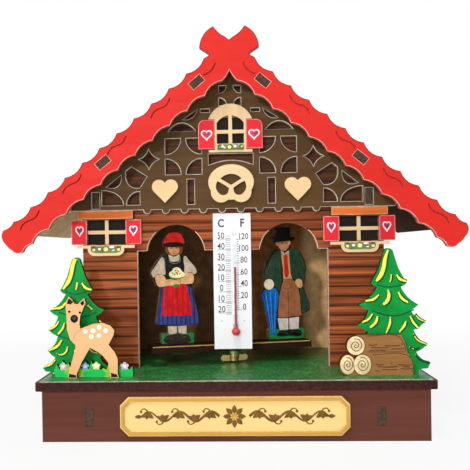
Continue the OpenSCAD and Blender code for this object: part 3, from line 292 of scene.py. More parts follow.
TREE_LEFT_LIGHTS = (
    (-0.2, 49.4, 1, -1.2, 46.8, 1.1, -2, 43.1, 1.1, -3.2, 39.9, 1.1, -5.6, 36.7, 0.6),
    (0.4, 39.5, 0.5, 0.2, 37.9, 0.6, -0.2, 36.3, 0.4),
    (2.4, 39.1, 0.5, 4, 37.1, 0.9, 6.4, 36.3, 0.6),
    (-4.6, 30.9, 0.5, -6.4, 29, 0.8, -10.1, 28.4, 0.5),
    (4.8, 29.8, 0.5, 6.6, 28, 0.6),
    (-7.7, 23, 0.4, -9.3, 21, 0.6, -11.7, 19.6, 0.5),
    (-5.4, 22.4, 0.4, -6, 20.2, 0.6, -8.1, 17.6, 0.5),
    (9.5, 23.2, 0.4, 10.5, 22.2, 0.5),
    (-6.6, 15.1, 0.5, -8.5, 12.5, 0.7, -12.1, 10.7, 0.5),
    (-4.2, 12.3, 0.4, -4.8, 10.1, 0.5, -6.9, 8.9, 0.5, -8.9, 9.5, 0.3),
    (-1, 12.5, 0.3, -1.2, 10.1, 0.4, -0.6, 8.1, 0.3),
    (-9.5, 6.7, 0.4, -11.3, 4.9, 0.5, -14.3, 3.7, 0.4),
    (-10.5, 1, 0.4, -8.5, 1.4, 0.4),
)

TREE_RIGHT_LIGHTS = (
    (-0.4, 51.2, 0.5, -1.6, 47.4, 1, -2.4, 43.3, 1.1, -3.8, 40.1, 1.1, -5.4, 38.3, 0.6),
    (0.8, 41.1, 0.4, 0.6, 39.3, 0.5, 0.2, 37.9, 0.4),
    (3, 40.9, 0.5, 4.4, 39.1, 0.9, 6.9, 38.1, 0.6),
    (-4.4, 32.7, 0.4, -6.6, 30.8, 0.7, -9.9, 30.2, 0.5),
    (-0.6, 34.7, 0.5, -0.2, 32.5, 0.9, -1, 30, 1, -2.6, 28.6, 0.6),
    (3.6, 33.7, 0.5, 5, 31.2, 0.9, 7.5, 29.4, 0.7),
    (-7.1, 24.8, 0.4, -8.7, 22.6, 0.6, -11.3, 21.3, 0.5),
    (-5, 23.8, 0.5, -5.8, 21.2, 0.8, -8.1, 19.1, 0.6),
    (0.2, 23.4, 0.4, 0, 20.8, 0.7, -1.6, 16.7, 0.4),
    (6.6, 21.6, 0.4, 5.8, 19.6, 0.7, 3.8, 17.1, 0.5),
    (8.3, 23.8, 0.5, 9.5, 21.2, 0.8, 11.5, 18.8, 0.6),
    (10.3, 24.6, 0.3, 11.9, 22.6, 0.5, 14.3, 21.4, 0.4),
    (9.5, 16.3, 0.3, 11.1, 13.9, 0.5, 14.9, 11.9, 0.4),
    (7.9, 10.9, 0.3, 9.5, 10.1, 0.4, 11.9, 10.5, 0.2),
    (10.1, 7.7, 0.2, 12.3, 5.7, 0.3, 15.9, 4.2, 0.2),
)

TREE_LEFT_TIERS = (
    (-4.8, 35.7, -0.4, 34.5, 4.4, 35.5),
    (-7.7, 27, -1.2, 25, 5.2, 25.4, 8.5, 27),
    (-8.9, 17.4, -2, 15.3, 5.2, 15.7, 10.5, 17.8),
)

TREE_RIGHT_TIERS = (
    (-5.4, 36.9, -0.6, 35.9, 5, 36.5),
    (-7.5, 26.2, -2.2, 24.4, 3, 24, 9.9, 26.4),
)


# Materials


def full(colour):
    return colour if isinstance(colour, bpy.types.NodeSocket) or len(colour) == 4 else (*colour, 1)


def tint(colour, factor, more=0.0):
    """A colour made darker or paler."""
    return tuple(min(1, c * factor + more) for c in colour)


class Nodes:
    """A node tree, with a short call for each kind of node that is put in it."""

    def __init__(self, tree):
        self.tree = tree

    def join(self, value, socket):
        """Sets a socket to a value, or links it to an output."""
        if isinstance(value, bpy.types.NodeSocket):
            self.tree.links.new(value, socket)
        else:
            socket.default_value = value

    def put(self, kind, sockets=None, **settings):
        node = self.tree.nodes.new("ShaderNode" + kind)
        for name, value in settings.items():
            setattr(node, name, value)
        for name, value in (sockets or {}).items():
            self.join(value, node.inputs[name])
        return node

    def math(self, operation, *values):
        return self.put("Math", dict(enumerate(values)), operation=operation).outputs[0]

    def add(self, first, second):
        return self.math("ADD", first, second)

    def less(self, first, second):
        return self.math("SUBTRACT", first, second)

    def times(self, first, second):
        return self.math("MULTIPLY", first, second)

    def blend(self, share, first, second):
        sockets = {0: share, 6: full(first), 7: full(second)}
        return self.put("Mix", sockets, data_type="RGBA", blend_type="MIX", clamp_factor=True).outputs[2]

    def steps(self, value, low, high, to_low=0.0, to_high=1.0):
        """A value brought from one range to another, and kept inside it."""
        sockets = {"Value": value, "From Min": low, "From Max": high, "To Min": to_low, "To Max": to_high}
        return self.put("MapRange", sockets, interpolation_type="SMOOTHSTEP").outputs[0]

    def part(self, axis, kind="Object"):
        """One axis of the piece's own coordinates or of its normal."""
        return self.put("SeparateXYZ", {0: self.put("TexCoord").outputs[kind]}).outputs[axis]

    def cloud(
        self, scale=1.0, detail=3.0, rough=0.55, twist=0.0, stretch=(1, 1, 1), turn=(0, 0, 0), shift=(0, 0, 0),
    ):
        """Noise on the piece's own coordinates, stretched, turned and moved."""
        here = self.put("TexCoord").outputs["Object"]
        sockets = {"Vector": here, "Scale": stretch, "Rotation": turn, "Location": shift}
        place = self.put("Mapping", sockets).outputs[0]
        sockets = {"Vector": place, "Scale": scale, "Detail": detail, "Roughness": rough, "Distortion": twist}
        return self.put("TexNoise", sockets).outputs["Fac"]

    def facing(self, axis, sign):
        """1 where the surface faces along the axis, in the piece's own frame."""
        return self.math("GREATER_THAN", self.times(self.part(axis, "Normal"), sign), 0.6)

    def grain(self, stretch=(25, 25, 420)):
        """Wood grain that runs along X: 0 in the dark streaks and 1 in the pale ones."""
        fine = self.cloud(1.0, 6, 0.6, 0.4, stretch)
        wide = self.cloud(1.0, 3, 0.5, 0.8, tuple(s * 0.22 for s in stretch))
        return self.steps(self.add(self.times(fine, 0.55), self.times(wide, 0.45)), 0.36, 0.64)

    def fibres(self, colour):
        """Bare fibreboard: a soft mottle with short dark and pale fibres."""
        mottle, specks = self.cloud(260, 4, 0.6), self.cloud(2100, 2, 0.7)
        ground = self.blend(self.steps(mottle, 0.35, 0.68), tint(colour, 0.86), tint(colour, 1.22))
        return self.blend(self.steps(specks, 0.56, 0.68, 0, 0.75), ground, tint(colour, 0.5))

    def burnt(self, colour):
        """A cut edge: the board's own brown with the cutter's fine upright marks."""
        marks = self.cloud(1.0, 3, 0.6, stretch=(900, 60, 900))
        return self.blend(self.steps(marks, 0.35, 0.7), tint(colour, 0.62), tint(colour, 1.3))

    def cut_out(self, printed, edge, back):
        """A printed face in front, cut edges all round, and bare board behind."""
        colour = self.blend(self.facing(1, -1), self.burnt(edge), printed)
        return self.blend(self.facing(1, 1), colour, self.fibres(back))

    def seen(self):
        """1 for what the camera sees, straight or in a mirror or through glass, and 0 for light on the piece."""
        rays = self.put("LightPath").outputs
        bent = self.math("MAXIMUM", rays["Is Glossy Ray"], rays["Is Transmission Ray"])
        return self.math("MAXIMUM", rays["Is Camera Ray"], bent)


class Look(Nodes):
    """A new material and the nodes that colour it."""

    def __init__(self, name, roughness=0.5, metallic=0.0, coat=0.0, gloss=0.08):
        self.material = bpy.data.materials.new(name)
        self.material.use_nodes = True
        super().__init__(self.material.node_tree)
        self.sockets = self.tree.nodes["Principled BSDF"].inputs
        self.set_sockets(
            {"Roughness": roughness, "Metallic": metallic, "Coat Weight": coat, "Specular IOR Level": gloss}
        )

    def set_sockets(self, values):
        for name, value in values.items():
            self.join(value, self.sockets[name])

    def done(self, colour, height=None, strength=0.1, reach=0.1 * MM):
        """The material, with its colour joined, and a bump where a height is given."""
        self.set_sockets({"Base Color": full(colour)})
        if height is not None:
            bump = self.put("Bump", {"Height": height, "Strength": strength, "Distance": reach})
            self.set_sockets({"Normal": bump.outputs[0]})
        return self.material


def board(name, face, edge, back=None, roughness=0.45, grain=0.3, dark=0.6, face_axis=(1, -1), stretch=(25, 25, 420)):
    """A board with a printed or painted face, cut edges and, where it is bare behind, a raw back."""
    look = Look(name, roughness)
    streaks = look.grain(stretch)
    patches = look.steps(look.cloud(18, 3), 0.3, 0.75, 0, 0.22)
    printed = look.blend(look.times(look.less(1.0, streaks), grain), face, tint(face, dark))
    printed = look.blend(patches, printed, tint(face, 1.25, 0.01))
    colour = look.blend(look.facing(*face_axis), look.burnt(edge), printed)
    if back is not None:
        axis, sign = face_axis
        colour = look.blend(look.facing(axis, -sign), colour, look.fibres(back))
    look.set_sockets({"Roughness": look.add(look.times(streaks, -0.12), roughness + 0.1)})
    return look.done(colour, streaks, 0.12, 0.2 * MM)


def paint(name, seen, roughness=0.42, folds=None):
    """Printed ink on a board: a colour with a soft cloudiness, and fine grain under it."""
    base = srgb(*seen)
    look = Look(name, roughness)
    colour = look.blend(look.steps(look.cloud(320, 4, 0.6), 0.32, 0.68), tint(base, 0.776), tint(base, 1.14, 0.004))
    if folds is not None:
        pitch, shade = folds
        wobble = look.times(look.cloud(1.0, 2, stretch=(60, 60, 30)), 2.5)
        wave = look.math("SINE", look.add(look.times(look.part(0), 2 * math.pi / pitch), wobble))
        colour = look.blend(look.steps(wave, 0.1, 0.95, 0, 0.8), colour, srgb(*shade))
    return look.done(colour, look.cloud(1.0, 4, stretch=(300, 300, 900)))


def planks(paints):
    """The plank print: each plank has its own tone, streaks along it and a dark line under it."""
    look = Look("printed planks")
    pitch, foot = 4.24 * MM, 0.7 * MM
    z = look.part(2)
    drift = look.times(look.less(look.cloud(1.0, 2, stretch=(16, 16, 60)), 0.5), 0.22)
    along = look.add(look.math("DIVIDE", look.less(z, foot), pitch), drift)
    own = look.put("TexWhiteNoise", {"W": look.math("FLOOR", along)}, noise_dimensions="1D").outputs["Value"]
    streaks = look.grain((14, 14, 1150))
    fine = look.cloud(1.0, 4, 0.6, stretch=(34, 34, 3000))
    red = paints.planks
    orange = tuple(min(1, c * m) for c, m in zip(red, (1.75, 2.2, 2.1)))
    tone = look.add(look.times(own, 0.3), look.times(streaks, 0.7))
    wood = look.blend(look.steps(tone, 0.1, 0.95), tint(red, 0.34), orange)
    wood = look.blend(0.3, wood, red)
    wood = look.blend(look.steps(fine, 0.5, 0.66, 0, 0.7), wood, tint(red, 0.42))
    stain_and_shade = look.cloud(1.0, 3, stretch=(24, 24, 110), shift=(0.7, 0, 0.2))
    wood = look.blend(look.steps(stain_and_shade, 0.45, 0.72, 0, 0.5), wood, tint(red, 0.36))
    near = look.math("ABSOLUTE", look.less(look.math("FRACT", along), 0.5))
    broken = look.cloud(1.0, 3, stretch=(26, 26, 300), shift=(0.3, 0, 0))
    lines = look.times(look.steps(near, 0.3, 0.49), look.steps(broken, 0.3, 0.6, 0.5, 1))
    printed = look.blend(lines, wood, paints.plank_lines)
    # above the doorways, under the roof and behind the fretwork, the same print is painted darker and greyer as
    # painted shade
    printed = look.blend(look.steps(z, 94.2 * MM, 95.2 * MM, 0, 0.8), printed, srgb(56, 40, 28))
    colour = look.cut_out(printed, srgb(226, 186, 164), tint(paints.raw_board, 0.55))
    return look.done(colour, look.less(look.times(streaks, 0.3), lines), 0.35, 0.3 * MM)


def back_wall_board(paints):
    """Bare board behind the right doorway, with painted shade darkening it towards the middle of the house and a
    painted pool of light making it pale beyond about 40 mm from the middle.
    """
    look = Look("back wall board", 0.8, gloss=0.05)
    x = look.part(0)
    wander = look.times(look.less(look.cloud(60, 3), 0.5), 6 * MM)
    # painted shade up to 35 to 42 mm right of the middle and a painted pool of light beyond it, with the shade deepest
    # left of the middle
    stain_and_shade = look.steps(look.add(x, wander), 35 * MM, 42 * MM)
    centre = look.steps(x, 0, 10 * MM)
    dark = look.blend(centre, look.fibres(srgb(128, 92, 62)), look.fibres(srgb(164, 110, 66)))
    colour = look.blend(stain_and_shade, dark, look.fibres(srgb(255, 200, 142)))
    colour = look.blend(look.facing(1, -1), look.fibres(paints.raw_board), colour)
    return look.done(colour, look.cloud(1300, 3), 0.2, 0.2 * MM)


def bare_board(paints):
    look = Look("bare fibreboard", 0.75)
    return look.done(look.fibres(paints.raw_board), look.cloud(1600, 3), 0.25)


def tabbed_board(name, paints, shade):
    """Bare fibreboard whose tabs end in a dark, burnt face at the front."""
    look = Look(name, 0.7)
    bare = look.fibres(tint(paints.raw_board, shade))
    colour = look.blend(look.facing(1, -1), bare, look.burnt(srgb(82, 64, 54)))
    return look.done(colour, look.cloud(1600, 3), 0.25)


def roof(name, paints, below):
    """Under the roof, bare board in a given colour that carries painted light or painted shade for each panel; stained
    on top and burnt at the ends.
    """
    look = Look(name, 0.8, gloss=0.05)
    on_top = look.math("GREATER_THAN", look.part(2, "Normal"), 0.3)
    at_end = look.math("GREATER_THAN", look.math("ABSOLUTE", look.part(1, "Normal")), 0.6)
    streaks = look.grain((420, 18, 420))
    stain_and_shade = look.blend(streaks, tint(paints.base, 0.5), paints.base)
    colour = look.blend(on_top, look.fibres(below), stain_and_shade)
    colour = look.blend(at_end, colour, look.burnt(srgb(84, 62, 52)))
    return look.done(colour, streaks, 0.15, 0.2 * MM)


def grass(paints):
    """Glossy printed grass: short blades in several greens under a varnish."""
    look = Look("printed grass", 0.38, coat=0.06, gloss=0.4)
    look.set_sockets({"Coat Roughness": 0.12})
    blades = look.cloud(1.0, 4, 0.7, 0.6, (1000, 560, 1000), (0, 0, 0.3))
    green = paints.grass
    colour = look.blend(look.steps(blades, 0.42, 0.58), tint(green, 0.3), tint(green, 2.3))
    colour = look.blend(look.steps(look.cloud(120, 4, 0.6), 0.38, 0.66, 0, 0.6), colour, tint(green, 0.45))
    colour = look.blend(look.facing(1, -1), colour, look.burnt(srgb(196, 186, 160)))
    return look.done(colour, blades, 0.3, 0.2 * MM)


def tree_print(paints):
    """The trees' print, with brown cut edges."""
    look = Look("printed tree", 0.4)
    green = paints.tree
    printed = look.blend(look.steps(look.cloud(90, 4), 0.3, 0.7), tint(green, 0.72), tint(green, 1.12, 0.002))
    return look.done(look.cut_out(printed, srgb(46, 34, 24), paints.raw_board), look.cloud(1200, 3))


def meadow_print(paints):
    """Tufts that change from blue green to lime along the strip."""
    look = Look("printed meadow", 0.42)
    wobble = look.times(look.cloud(1.0, 3, stretch=(90, 90, 120)), 9)
    wave = look.math("SINE", look.add(look.times(look.part(0), 430), wobble))
    printed = look.blend(look.steps(wave, -0.4, 0.9), srgb(30, 196, 92), srgb(156, 212, 62))
    return look.done(look.cut_out(printed, srgb(34, 70, 34), paints.raw_board), look.cloud(1200, 3))


def brass():
    """Worn brass, brighter and duller in random patches of tarnish."""
    look = Look("worn brass", 0.28, metallic=1.0, gloss=0.5)
    tarnish = look.cloud(420, 5, 0.6)
    look.set_sockets({"Roughness": look.steps(tarnish, 0.35, 0.7, 0.2, 0.42)})
    colour = look.blend(look.steps(tarnish, 0.35, 0.7), srgb(246, 226, 164), srgb(208, 172, 98))
    return look.done(colour, look.cloud(1800, 3), 0.08)


def glass():
    """Clear glass of the thermometer's tube, which only shows as a faint sheen."""
    look = Look("clear glass", 0.2, gloss=0.3)
    look.set_sockets({"Alpha": 0.02})
    return look.done((1, 1, 1), look.cloud(1.0, 2, stretch=(400, 400, 60)), 0.03)


def spirit():
    """Red spirit, darker in the thin column than in the bulb, where it is painted brighter as painted light."""
    look = Look("red spirit", 0.25, gloss=0.5)
    cloud = look.cloud(500, 2)
    # the bulb is painted brighter than the column, as painted light on it
    thin = look.blend(cloud, srgb(128, 4, 36), srgb(150, 8, 44))
    bulb = look.blend(cloud, srgb(200, 4, 12), srgb(226, 12, 18))
    return look.done(look.blend(look.steps(look.part(2), 42.2 * MM, 43.4 * MM), bulb, thin))


def steel():
    """Darkened steel of the washer."""
    look = Look("darkened steel", 0.5, metallic=0.8)
    return look.done(look.blend(look.cloud(500, 4), srgb(60, 48, 40), srgb(104, 84, 68)))


def gut():
    """Twisted gut: waxy, yellowish and a little clear."""
    look = Look("twisted gut", 0.35)
    look.set_sockets({"Subsurface Weight": 0.2, "Subsurface Scale": 0.4 * MM})
    cloud = look.cloud(1.0, 3, stretch=(300, 300, 120))
    return look.done(look.blend(cloud, srgb(206, 178, 118), srgb(238, 220, 170)))


def white_card():
    """White glossy card with a faint shading of its own."""
    look = Look("white card", 0.35)
    colour = look.blend(look.cloud(70, 3), srgb(232, 233, 236), srgb(246, 246, 248))
    return look.done(colour, look.cloud(900, 2), 0.04)


def dark_pane():
    """Dark, slightly glossy panes behind the window bars, their darkness partly painted shade for the unlit inside of
    the house.
    """
    look = Look("dark pane", 0.6)
    colour = look.blend(look.cloud(160, 3), srgb(16, 13, 11), srgb(46, 38, 31))
    return look.done(colour, look.cloud(700, 2), 0.05)


def ink(name):
    """A printed ink's material, made the first time that it is needed, or another material by its name."""
    if name not in INKS:
        return bpy.data.materials[name]
    label = "ink " + name
    return bpy.data.materials.get(label) or paint(label, INKS[name], folds=FOLDS.get(name))


def dress(material, *nodes):
    """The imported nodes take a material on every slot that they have."""
    for name in nodes:
        slots = frame["nodes"][name].material_slots
        if not slots:
            raise RuntimeError(f"node {name} has no material slot")
        for one in slots:
            one.material = material


# Tools that model the prints. Their drawings and sizes are in millimetres.


def deselect():
    if bpy.context.object and bpy.context.object.mode != "OBJECT":
        bpy.ops.object.mode_set(mode="OBJECT")
    bpy.ops.object.select_all(action="DESELECT")


def pick(piece):
    """Selects one object alone, and makes it the active one."""
    deselect()
    piece.select_set(True)
    bpy.context.view_layer.objects.active = piece


def front(x, y, z):
    """Puts a drawing upright on a face at y with its origin at x, z."""
    return Matrix.Translation((x * MM, y * MM, z * MM)) @ Matrix.Rotation(math.pi / 2, 4, "X") @ Matrix.Scale(MM, 4)


def settle(piece, name, place, material, body, angle=40):
    """Applies the place, closes the mesh, and hangs the piece on its body."""
    piece.name = piece.data.name = name
    piece.matrix_world = place
    pick(piece)
    bpy.ops.object.transform_apply(location=True, rotation=True, scale=True)
    bpy.ops.object.mode_set(mode="EDIT")
    bpy.ops.mesh.select_all(action="SELECT")
    bpy.ops.mesh.remove_doubles(threshold=MERGE)
    bpy.ops.mesh.normals_make_consistent(inside=False)
    bpy.ops.object.mode_set(mode="OBJECT")
    bpy.ops.object.shade_smooth_by_angle(angle=math.radians(angle))
    piece.data.materials.clear()
    piece.data.materials.append(material)
    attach(piece, body)
    return piece


def start_curve(flat):
    """An empty curve, to be filled inside its outlines or to thicken along its lines."""
    deselect()
    bpy.ops.curve.primitive_bezier_circle_add(radius=1)
    piece = bpy.context.object
    piece.data.splines.clear()
    piece.data.dimensions = "2D" if flat else "3D"
    piece.data.fill_mode = "BOTH" if flat else "FULL"
    piece.data.resolution_u = 6
    return piece


def points_of(line):
    """The points of a flat row of x and z. A line that has its points already stays as it is."""
    return line if isinstance(line[0], tuple) else tuple(zip(line[::2], line[1::2]))


def add_line(curve, line, closed, rounded):
    """One outline or stroke, of points or of points and widths. A rounded one runs smoothly through its points."""
    line = points_of(line)
    spline = curve.splines.new("BEZIER" if rounded else "POLY")
    points = spline.bezier_points if rounded else spline.points
    points.add(len(line) - 1)
    for point, (x, y, *width) in zip(points, line):
        point.co = (x, y, 0) if rounded else (x, y, 0, 1)
        point.radius = width[0] if width else 1
        if rounded:
            point.handle_left_type = point.handle_right_type = "AUTO"
    spline.use_cyclic_u = closed


def field(name, outlines, place, colour, body="house", height=0.12, rounded=False, lip=0.03):
    """A raised printed field inside closed outlines. An outline inside another is a hole."""
    piece = start_curve(True)
    for line in outlines:
        add_line(piece.data, line, True, rounded)
    piece.data.extrude = (height + SINK) / 2 - lip
    piece.data.bevel_depth = lip
    piece.data.offset = -lip
    bpy.ops.object.convert(target="MESH")
    lifted = place @ Matrix.Translation((0, 0, (height - SINK) / 2))
    return settle(bpy.context.object, name, lifted, ink(colour), body)


def strokes(name, lines, width, place, colour, body="house", height=0.12, rounded=True):
    """Raised painted strokes."""
    piece = start_curve(False)
    for line in lines:
        add_line(piece.data, line, False, rounded)
    piece.data.bevel_depth = width / 2
    piece.data.bevel_resolution = 1
    piece.data.resolution_u = 5
    piece.data.use_fill_caps = True
    bpy.ops.object.convert(target="MESH")
    flattened = place @ Matrix.Diagonal((1, 1, height / (width / 2), 1))
    return settle(bpy.context.object, name, flattened, ink(colour), body, 60)


def print_picture(owner, fields, lines, place, body="house"):
    """Lays a drawing's fields and lines on a board."""
    for name, colour, height, rounded, *outlines in fields:
        field(f"{owner}_{name}", outlines, place, colour, body, height, rounded)
    for name, colour, width, height, *paths in lines:
        strokes(f"{owner}_{name}", paths, width, place, colour, body, height)


def oval(x, z, across, high=None, points=10):
    """The outline of a disc or an oval round x, z."""
    high = across if high is None else high
    turns = (2 * math.pi * index / points for index in range(points))
    return tuple((x + across / 2 * math.cos(turn), z + high / 2 * math.sin(turn)) for turn in turns)


def ovals(*rows):
    return [oval(*row) for row in rows]


def closed(points):
    """A line that comes back to its first point."""
    return points + (points[0],)


def loops(*rows):
    return [closed(oval(*row)) for row in rows]


def heart(x, z, across, high, points=30):
    outline = []
    for index in range(points):
        turn = 2 * math.pi * (index + 0.5) / points
        side = 16 * math.sin(turn) ** 3
        rise = 13 * math.cos(turn) - 5 * math.cos(2 * turn) - 2 * math.cos(3 * turn) - math.cos(4 * turn)
        outline.append((x + side * across / 32, z + (rise + 2.5) * high / 29))
    return tuple(outline)


def leaf(x, z, length, width, angle):
    """A pointed leaf that starts at x, z and grows along the angle, in degrees."""
    shape = ((0, 0), (0.22, 0.36), (0.5, 0.5), (0.8, 0.28), (1, 0), (0.8, -0.28), (0.5, -0.5), (0.22, -0.36))
    turn = math.radians(angle)
    ahead, aside = math.cos(turn), math.sin(turn)
    return tuple(
        (x + a * length * ahead - b * width * aside, z + a * length * aside + b * width * ahead) for a, b in shape
    )


def spiral(x, z, across, high, turns, start, steps=12):
    """A line that winds outward round x, z."""
    count = int(turns * steps)
    path = []
    for index in range(count + 1):
        share, turn = index / count, start + 2 * math.pi * turns * index / count
        path.append((x + share * across / 2 * math.cos(turn), z + share * high / 2 * math.sin(turn)))
    return tuple(path)


def octagon(across, high, corner, z):
    """A rectangle with cut corners round x = 0 and z."""
    a, b = across / 2, high / 2
    quarter = ((a, b - corner), (a - corner, b), (-a + corner, b), (-a, b - corner))
    return tuple((x, z + y) for x, y in quarter) + tuple((-x, z - y) for x, y in quarter)


def figures(name, words, high, place, colour, weight=0.0):
    """Dial figures on the card, each (text, x, z) and of one height, as one raised print."""
    narrowing, thickness = 0.82, 0.02
    made = []
    for text, x, z in words:
        deselect()
        bpy.ops.object.text_add()
        letters = bpy.context.object.data
        letters.body = text
        letters.align_x = letters.align_y = "CENTER"
        letters.offset = weight
        letters.resolution_u = 3
        letters.extrude = thickness
        bpy.ops.object.convert(target="MESH")
        word = bpy.context.object
        across, up = ([v.co[axis] for v in word.data.vertices] for axis in (0, 1))
        size = high / (max(up) - min(up))
        centred = Matrix.Translation((-(min(across) + max(across)) / 2, -(min(up) + max(up)) / 2, 0))
        scaled = Matrix.Diagonal((narrowing * size, size, 1, 1))
        word.matrix_world = Matrix.Translation((x, z, 0)) @ scaled @ centred
        bpy.ops.object.transform_apply(location=True, rotation=True, scale=True)
        made.append(word)
    pick(made[0])
    for word in made:
        word.select_set(True)
    bpy.ops.object.join()
    thick = place @ Matrix.Diagonal((1, 1, 2, 1))
    return settle(bpy.context.object, name, thick, ink(colour), "house")


def rim(name, node, width, height, colour, keep=None):
    """A raised line round the edges of a board's front, cut from a copy of that face. Its sizes are in metres."""
    source = frame["nodes"][node]
    pick(source)
    bpy.ops.object.duplicate()
    piece = bpy.context.object
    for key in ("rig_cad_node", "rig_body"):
        if key in piece:
            del piece[key]
    piece.parent = None
    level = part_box(node)[0].y
    bpy.ops.object.mode_set(mode="EDIT")
    bpy.ops.mesh.select_all(action="SELECT")
    bpy.ops.mesh.remove_doubles(threshold=MERGE)
    bpy.ops.mesh.select_mode(type="FACE")
    bpy.ops.mesh.select_all(action="DESELECT")
    bpy.ops.object.mode_set(mode="OBJECT")
    for face in piece.data.polygons:
        face.select = not (face.normal.y < -0.99 and abs(face.center.y - level) < 0.05 * MM)
    bpy.ops.object.mode_set(mode="EDIT")
    bpy.ops.mesh.delete(type="FACE")
    bpy.ops.mesh.select_all(action="SELECT")
    bpy.ops.mesh.inset(thickness=width, use_boundary=True, use_even_offset=False)
    bpy.ops.object.mode_set(mode="OBJECT")
    outer = piece.vertex_groups.new(name="outer")
    outer.add([v.index for v in piece.data.vertices if not v.select], 1, "REPLACE")
    bpy.ops.object.mode_set(mode="EDIT")
    bpy.ops.mesh.delete(type="FACE")
    bpy.ops.mesh.select_all(action="DESELECT")
    bpy.ops.object.mode_set(mode="OBJECT")
    if keep is not None:
        for face in piece.data.polygons:
            face.select = not keep(face.center)
        bpy.ops.object.mode_set(mode="EDIT")
        bpy.ops.mesh.delete(type="FACE")
        bpy.ops.object.mode_set(mode="OBJECT")
    wall = piece.modifiers.new("thickness", "SOLIDIFY")
    wall.thickness = height
    wall.offset = 1
    bpy.ops.object.modifier_apply(modifier=wall.name)
    # the line slopes down to the edge, so that the edges towards the lamp catch its light
    for vertex in piece.data.vertices:
        if vertex.groups and level - vertex.co.y > 0.5 * height:
            vertex.co.y = level - 0.12 * height
    piece.vertex_groups.clear()
    return settle(piece, name, Matrix.Identity(4), ink(colour), source["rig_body"])


def on_slope(point):
    """How far down the roof's slope a point is, and how far above its middle line, in millimetres."""
    ridge, pitch = 160.34, math.radians(39.3)
    run, drop = abs(point.x) / MM, ridge - point.z / MM
    return run * math.cos(pitch) + drop * math.sin(pitch), run * math.sin(pitch) - drop * math.cos(pitch)


def inner_edge(point):
    """True on the scallops under the roof and round the tab slots."""
    down, up = on_slope(point)
    slots, reach, slot_top, scallop_top = (18.2, 70.9), 3.7, 2.4, -3.2
    return up < scallop_top or (up < slot_top and min(abs(down - slot) for slot in slots) < reach)


def outer_edge(point):
    """True on the cusps along the upper edge."""
    cusp_foot = 3.4
    return on_slope(point)[1] > cusp_foot


def doorway_edge(point):
    """True round the two doorways, and not round the windows or at the wall's own edges."""
    side, foot, top = 52 * MM, 22 * MM, 85 * MM
    return abs(point.x) < side and foot < point.z < top


# The flower strip in the gable, the bowl under each side window, the deer and the logs

STRIP_PRINT = (
    ("white", "white", 0.16, True, *ovals(
        (-3.5, 122.3, 1.2, 1.08), (-2.6, 121.8, 0.8, 0.72), (2, 122.4, 1.3, 1.17), (2.9, 122.2, 1.1, 0.99))),
    ("yellow", "petal_yellow", 0.14, True, *ovals((-0.4, 122.1, 1.6), (5, 122.2, 0.8))),
)

STRIP_LINES = (
    ("loops", "olive_line", 0.36, 0.12, *loops((-4.7, 122.1, 1.5), (-0.4, 122.1, 2.3, 2.1), (4.8, 122.1, 1.5)),
        (-5.6, 121.2, -3.2, 121.3, -1.6, 121.2), (0.8, 121.2, 3.4, 121.3, 5.6, 121.2)),
)

BOWL_PRINT = (
    ("leaves", "olive", 0.08, False,
        (-6.9, 79.5, 6.9, 79.5, 6.7, 78.3, 6, 77.2, 4.6, 76.4, -4.6, 76.4, -6, 77.2, -6.7, 78.3)),
    ("white", "white", 0.16, True, *ovals((-2.9, 78.2, 1.5, 1.2), (2.6, 79, 2.4, 0.9), (3.2, 77.6, 1.2, 0.6))),
    ("cream", "petal_yellow", 0.14, True, *ovals((-0.1, 78.1, 2, 1.8), (-5.4, 77.9, 1.4, 1.2), (5.7, 77.9, 1.4, 1.1))),
    ("seeds", "seed_red", 0.18, True, *ovals((-5.6, 78.9, 1.3, 0.8), (5.4, 78.9, 1.6, 0.7), (2.4, 77.9, 1.5, 0.4))),
)

BOWL_LINES = (
    ("loops", "olive_line", 0.36, 0.12,
        *loops((-5.5, 78.2, 2.3, 2.5), (5.5, 78.2, 2.3, 2.4), (-0.1, 78.2, 3.1, 2.7), (-2.9, 78.1, 1.9, 1.8)),
        (1.6, 77, 2.9, 78, 4.2, 77), (-4.4, 76.8, -2.6, 77, -1.2, 76.8), (1.4, 78.6, 2.6, 78.4, 4.2, 78.8)),
)

DEER_PRINT = (
    ("inner_ears", "black", 0.14, False, (-7.8, 31, -7.2, 32.8, -6.6, 33, -5.1, 31.6, -6.2, 30.6),
        (-2.2, 31.2, -0.8, 32.3, -0.5, 31, -1.4, 30)),
    ("eyes", "black", 0.12, True, *ovals((-6.8, 27.6, 1), (-2.4, 27.2, 1))),
    ("nose", "black", 0.16, True, oval(-4.8, 24.7, 3.1, 3.3)),
    ("nose_light", "nose_brown", 0.2, True, oval(-4.8, 24.9, 1.6, 1.3)),
    ("spots", "spot", 0.1, True, *ovals(
        (-0.2, 19.4, 1.9), (3, 19.6, 1.9), (5.5, 21, 1.9), (8.2, 19.6, 1.9), (2.2, 17.2, 1.9), (5.5, 17.6, 1.9))),
    ("hooves", "hoof", 0.12, False, (-7.5, 0.3, -7.2, 1.9, -4.4, 1.2, -4.3, 0.3),
        (10.2, 0.3, 10.1, 2.2, 12.6, 1.4, 13, 0.4)),
)

DEER_LINES = (
    ("lines", "fawn_line", 0.3, 0.1, (-1.8, 20.3, -4.6, 18.2, -5.6, 15.4), (-4.8, 23, -4.8, 22.2),
        (1.2, 12.6, 2.2, 11.2, 4.6, 10.3)),
)

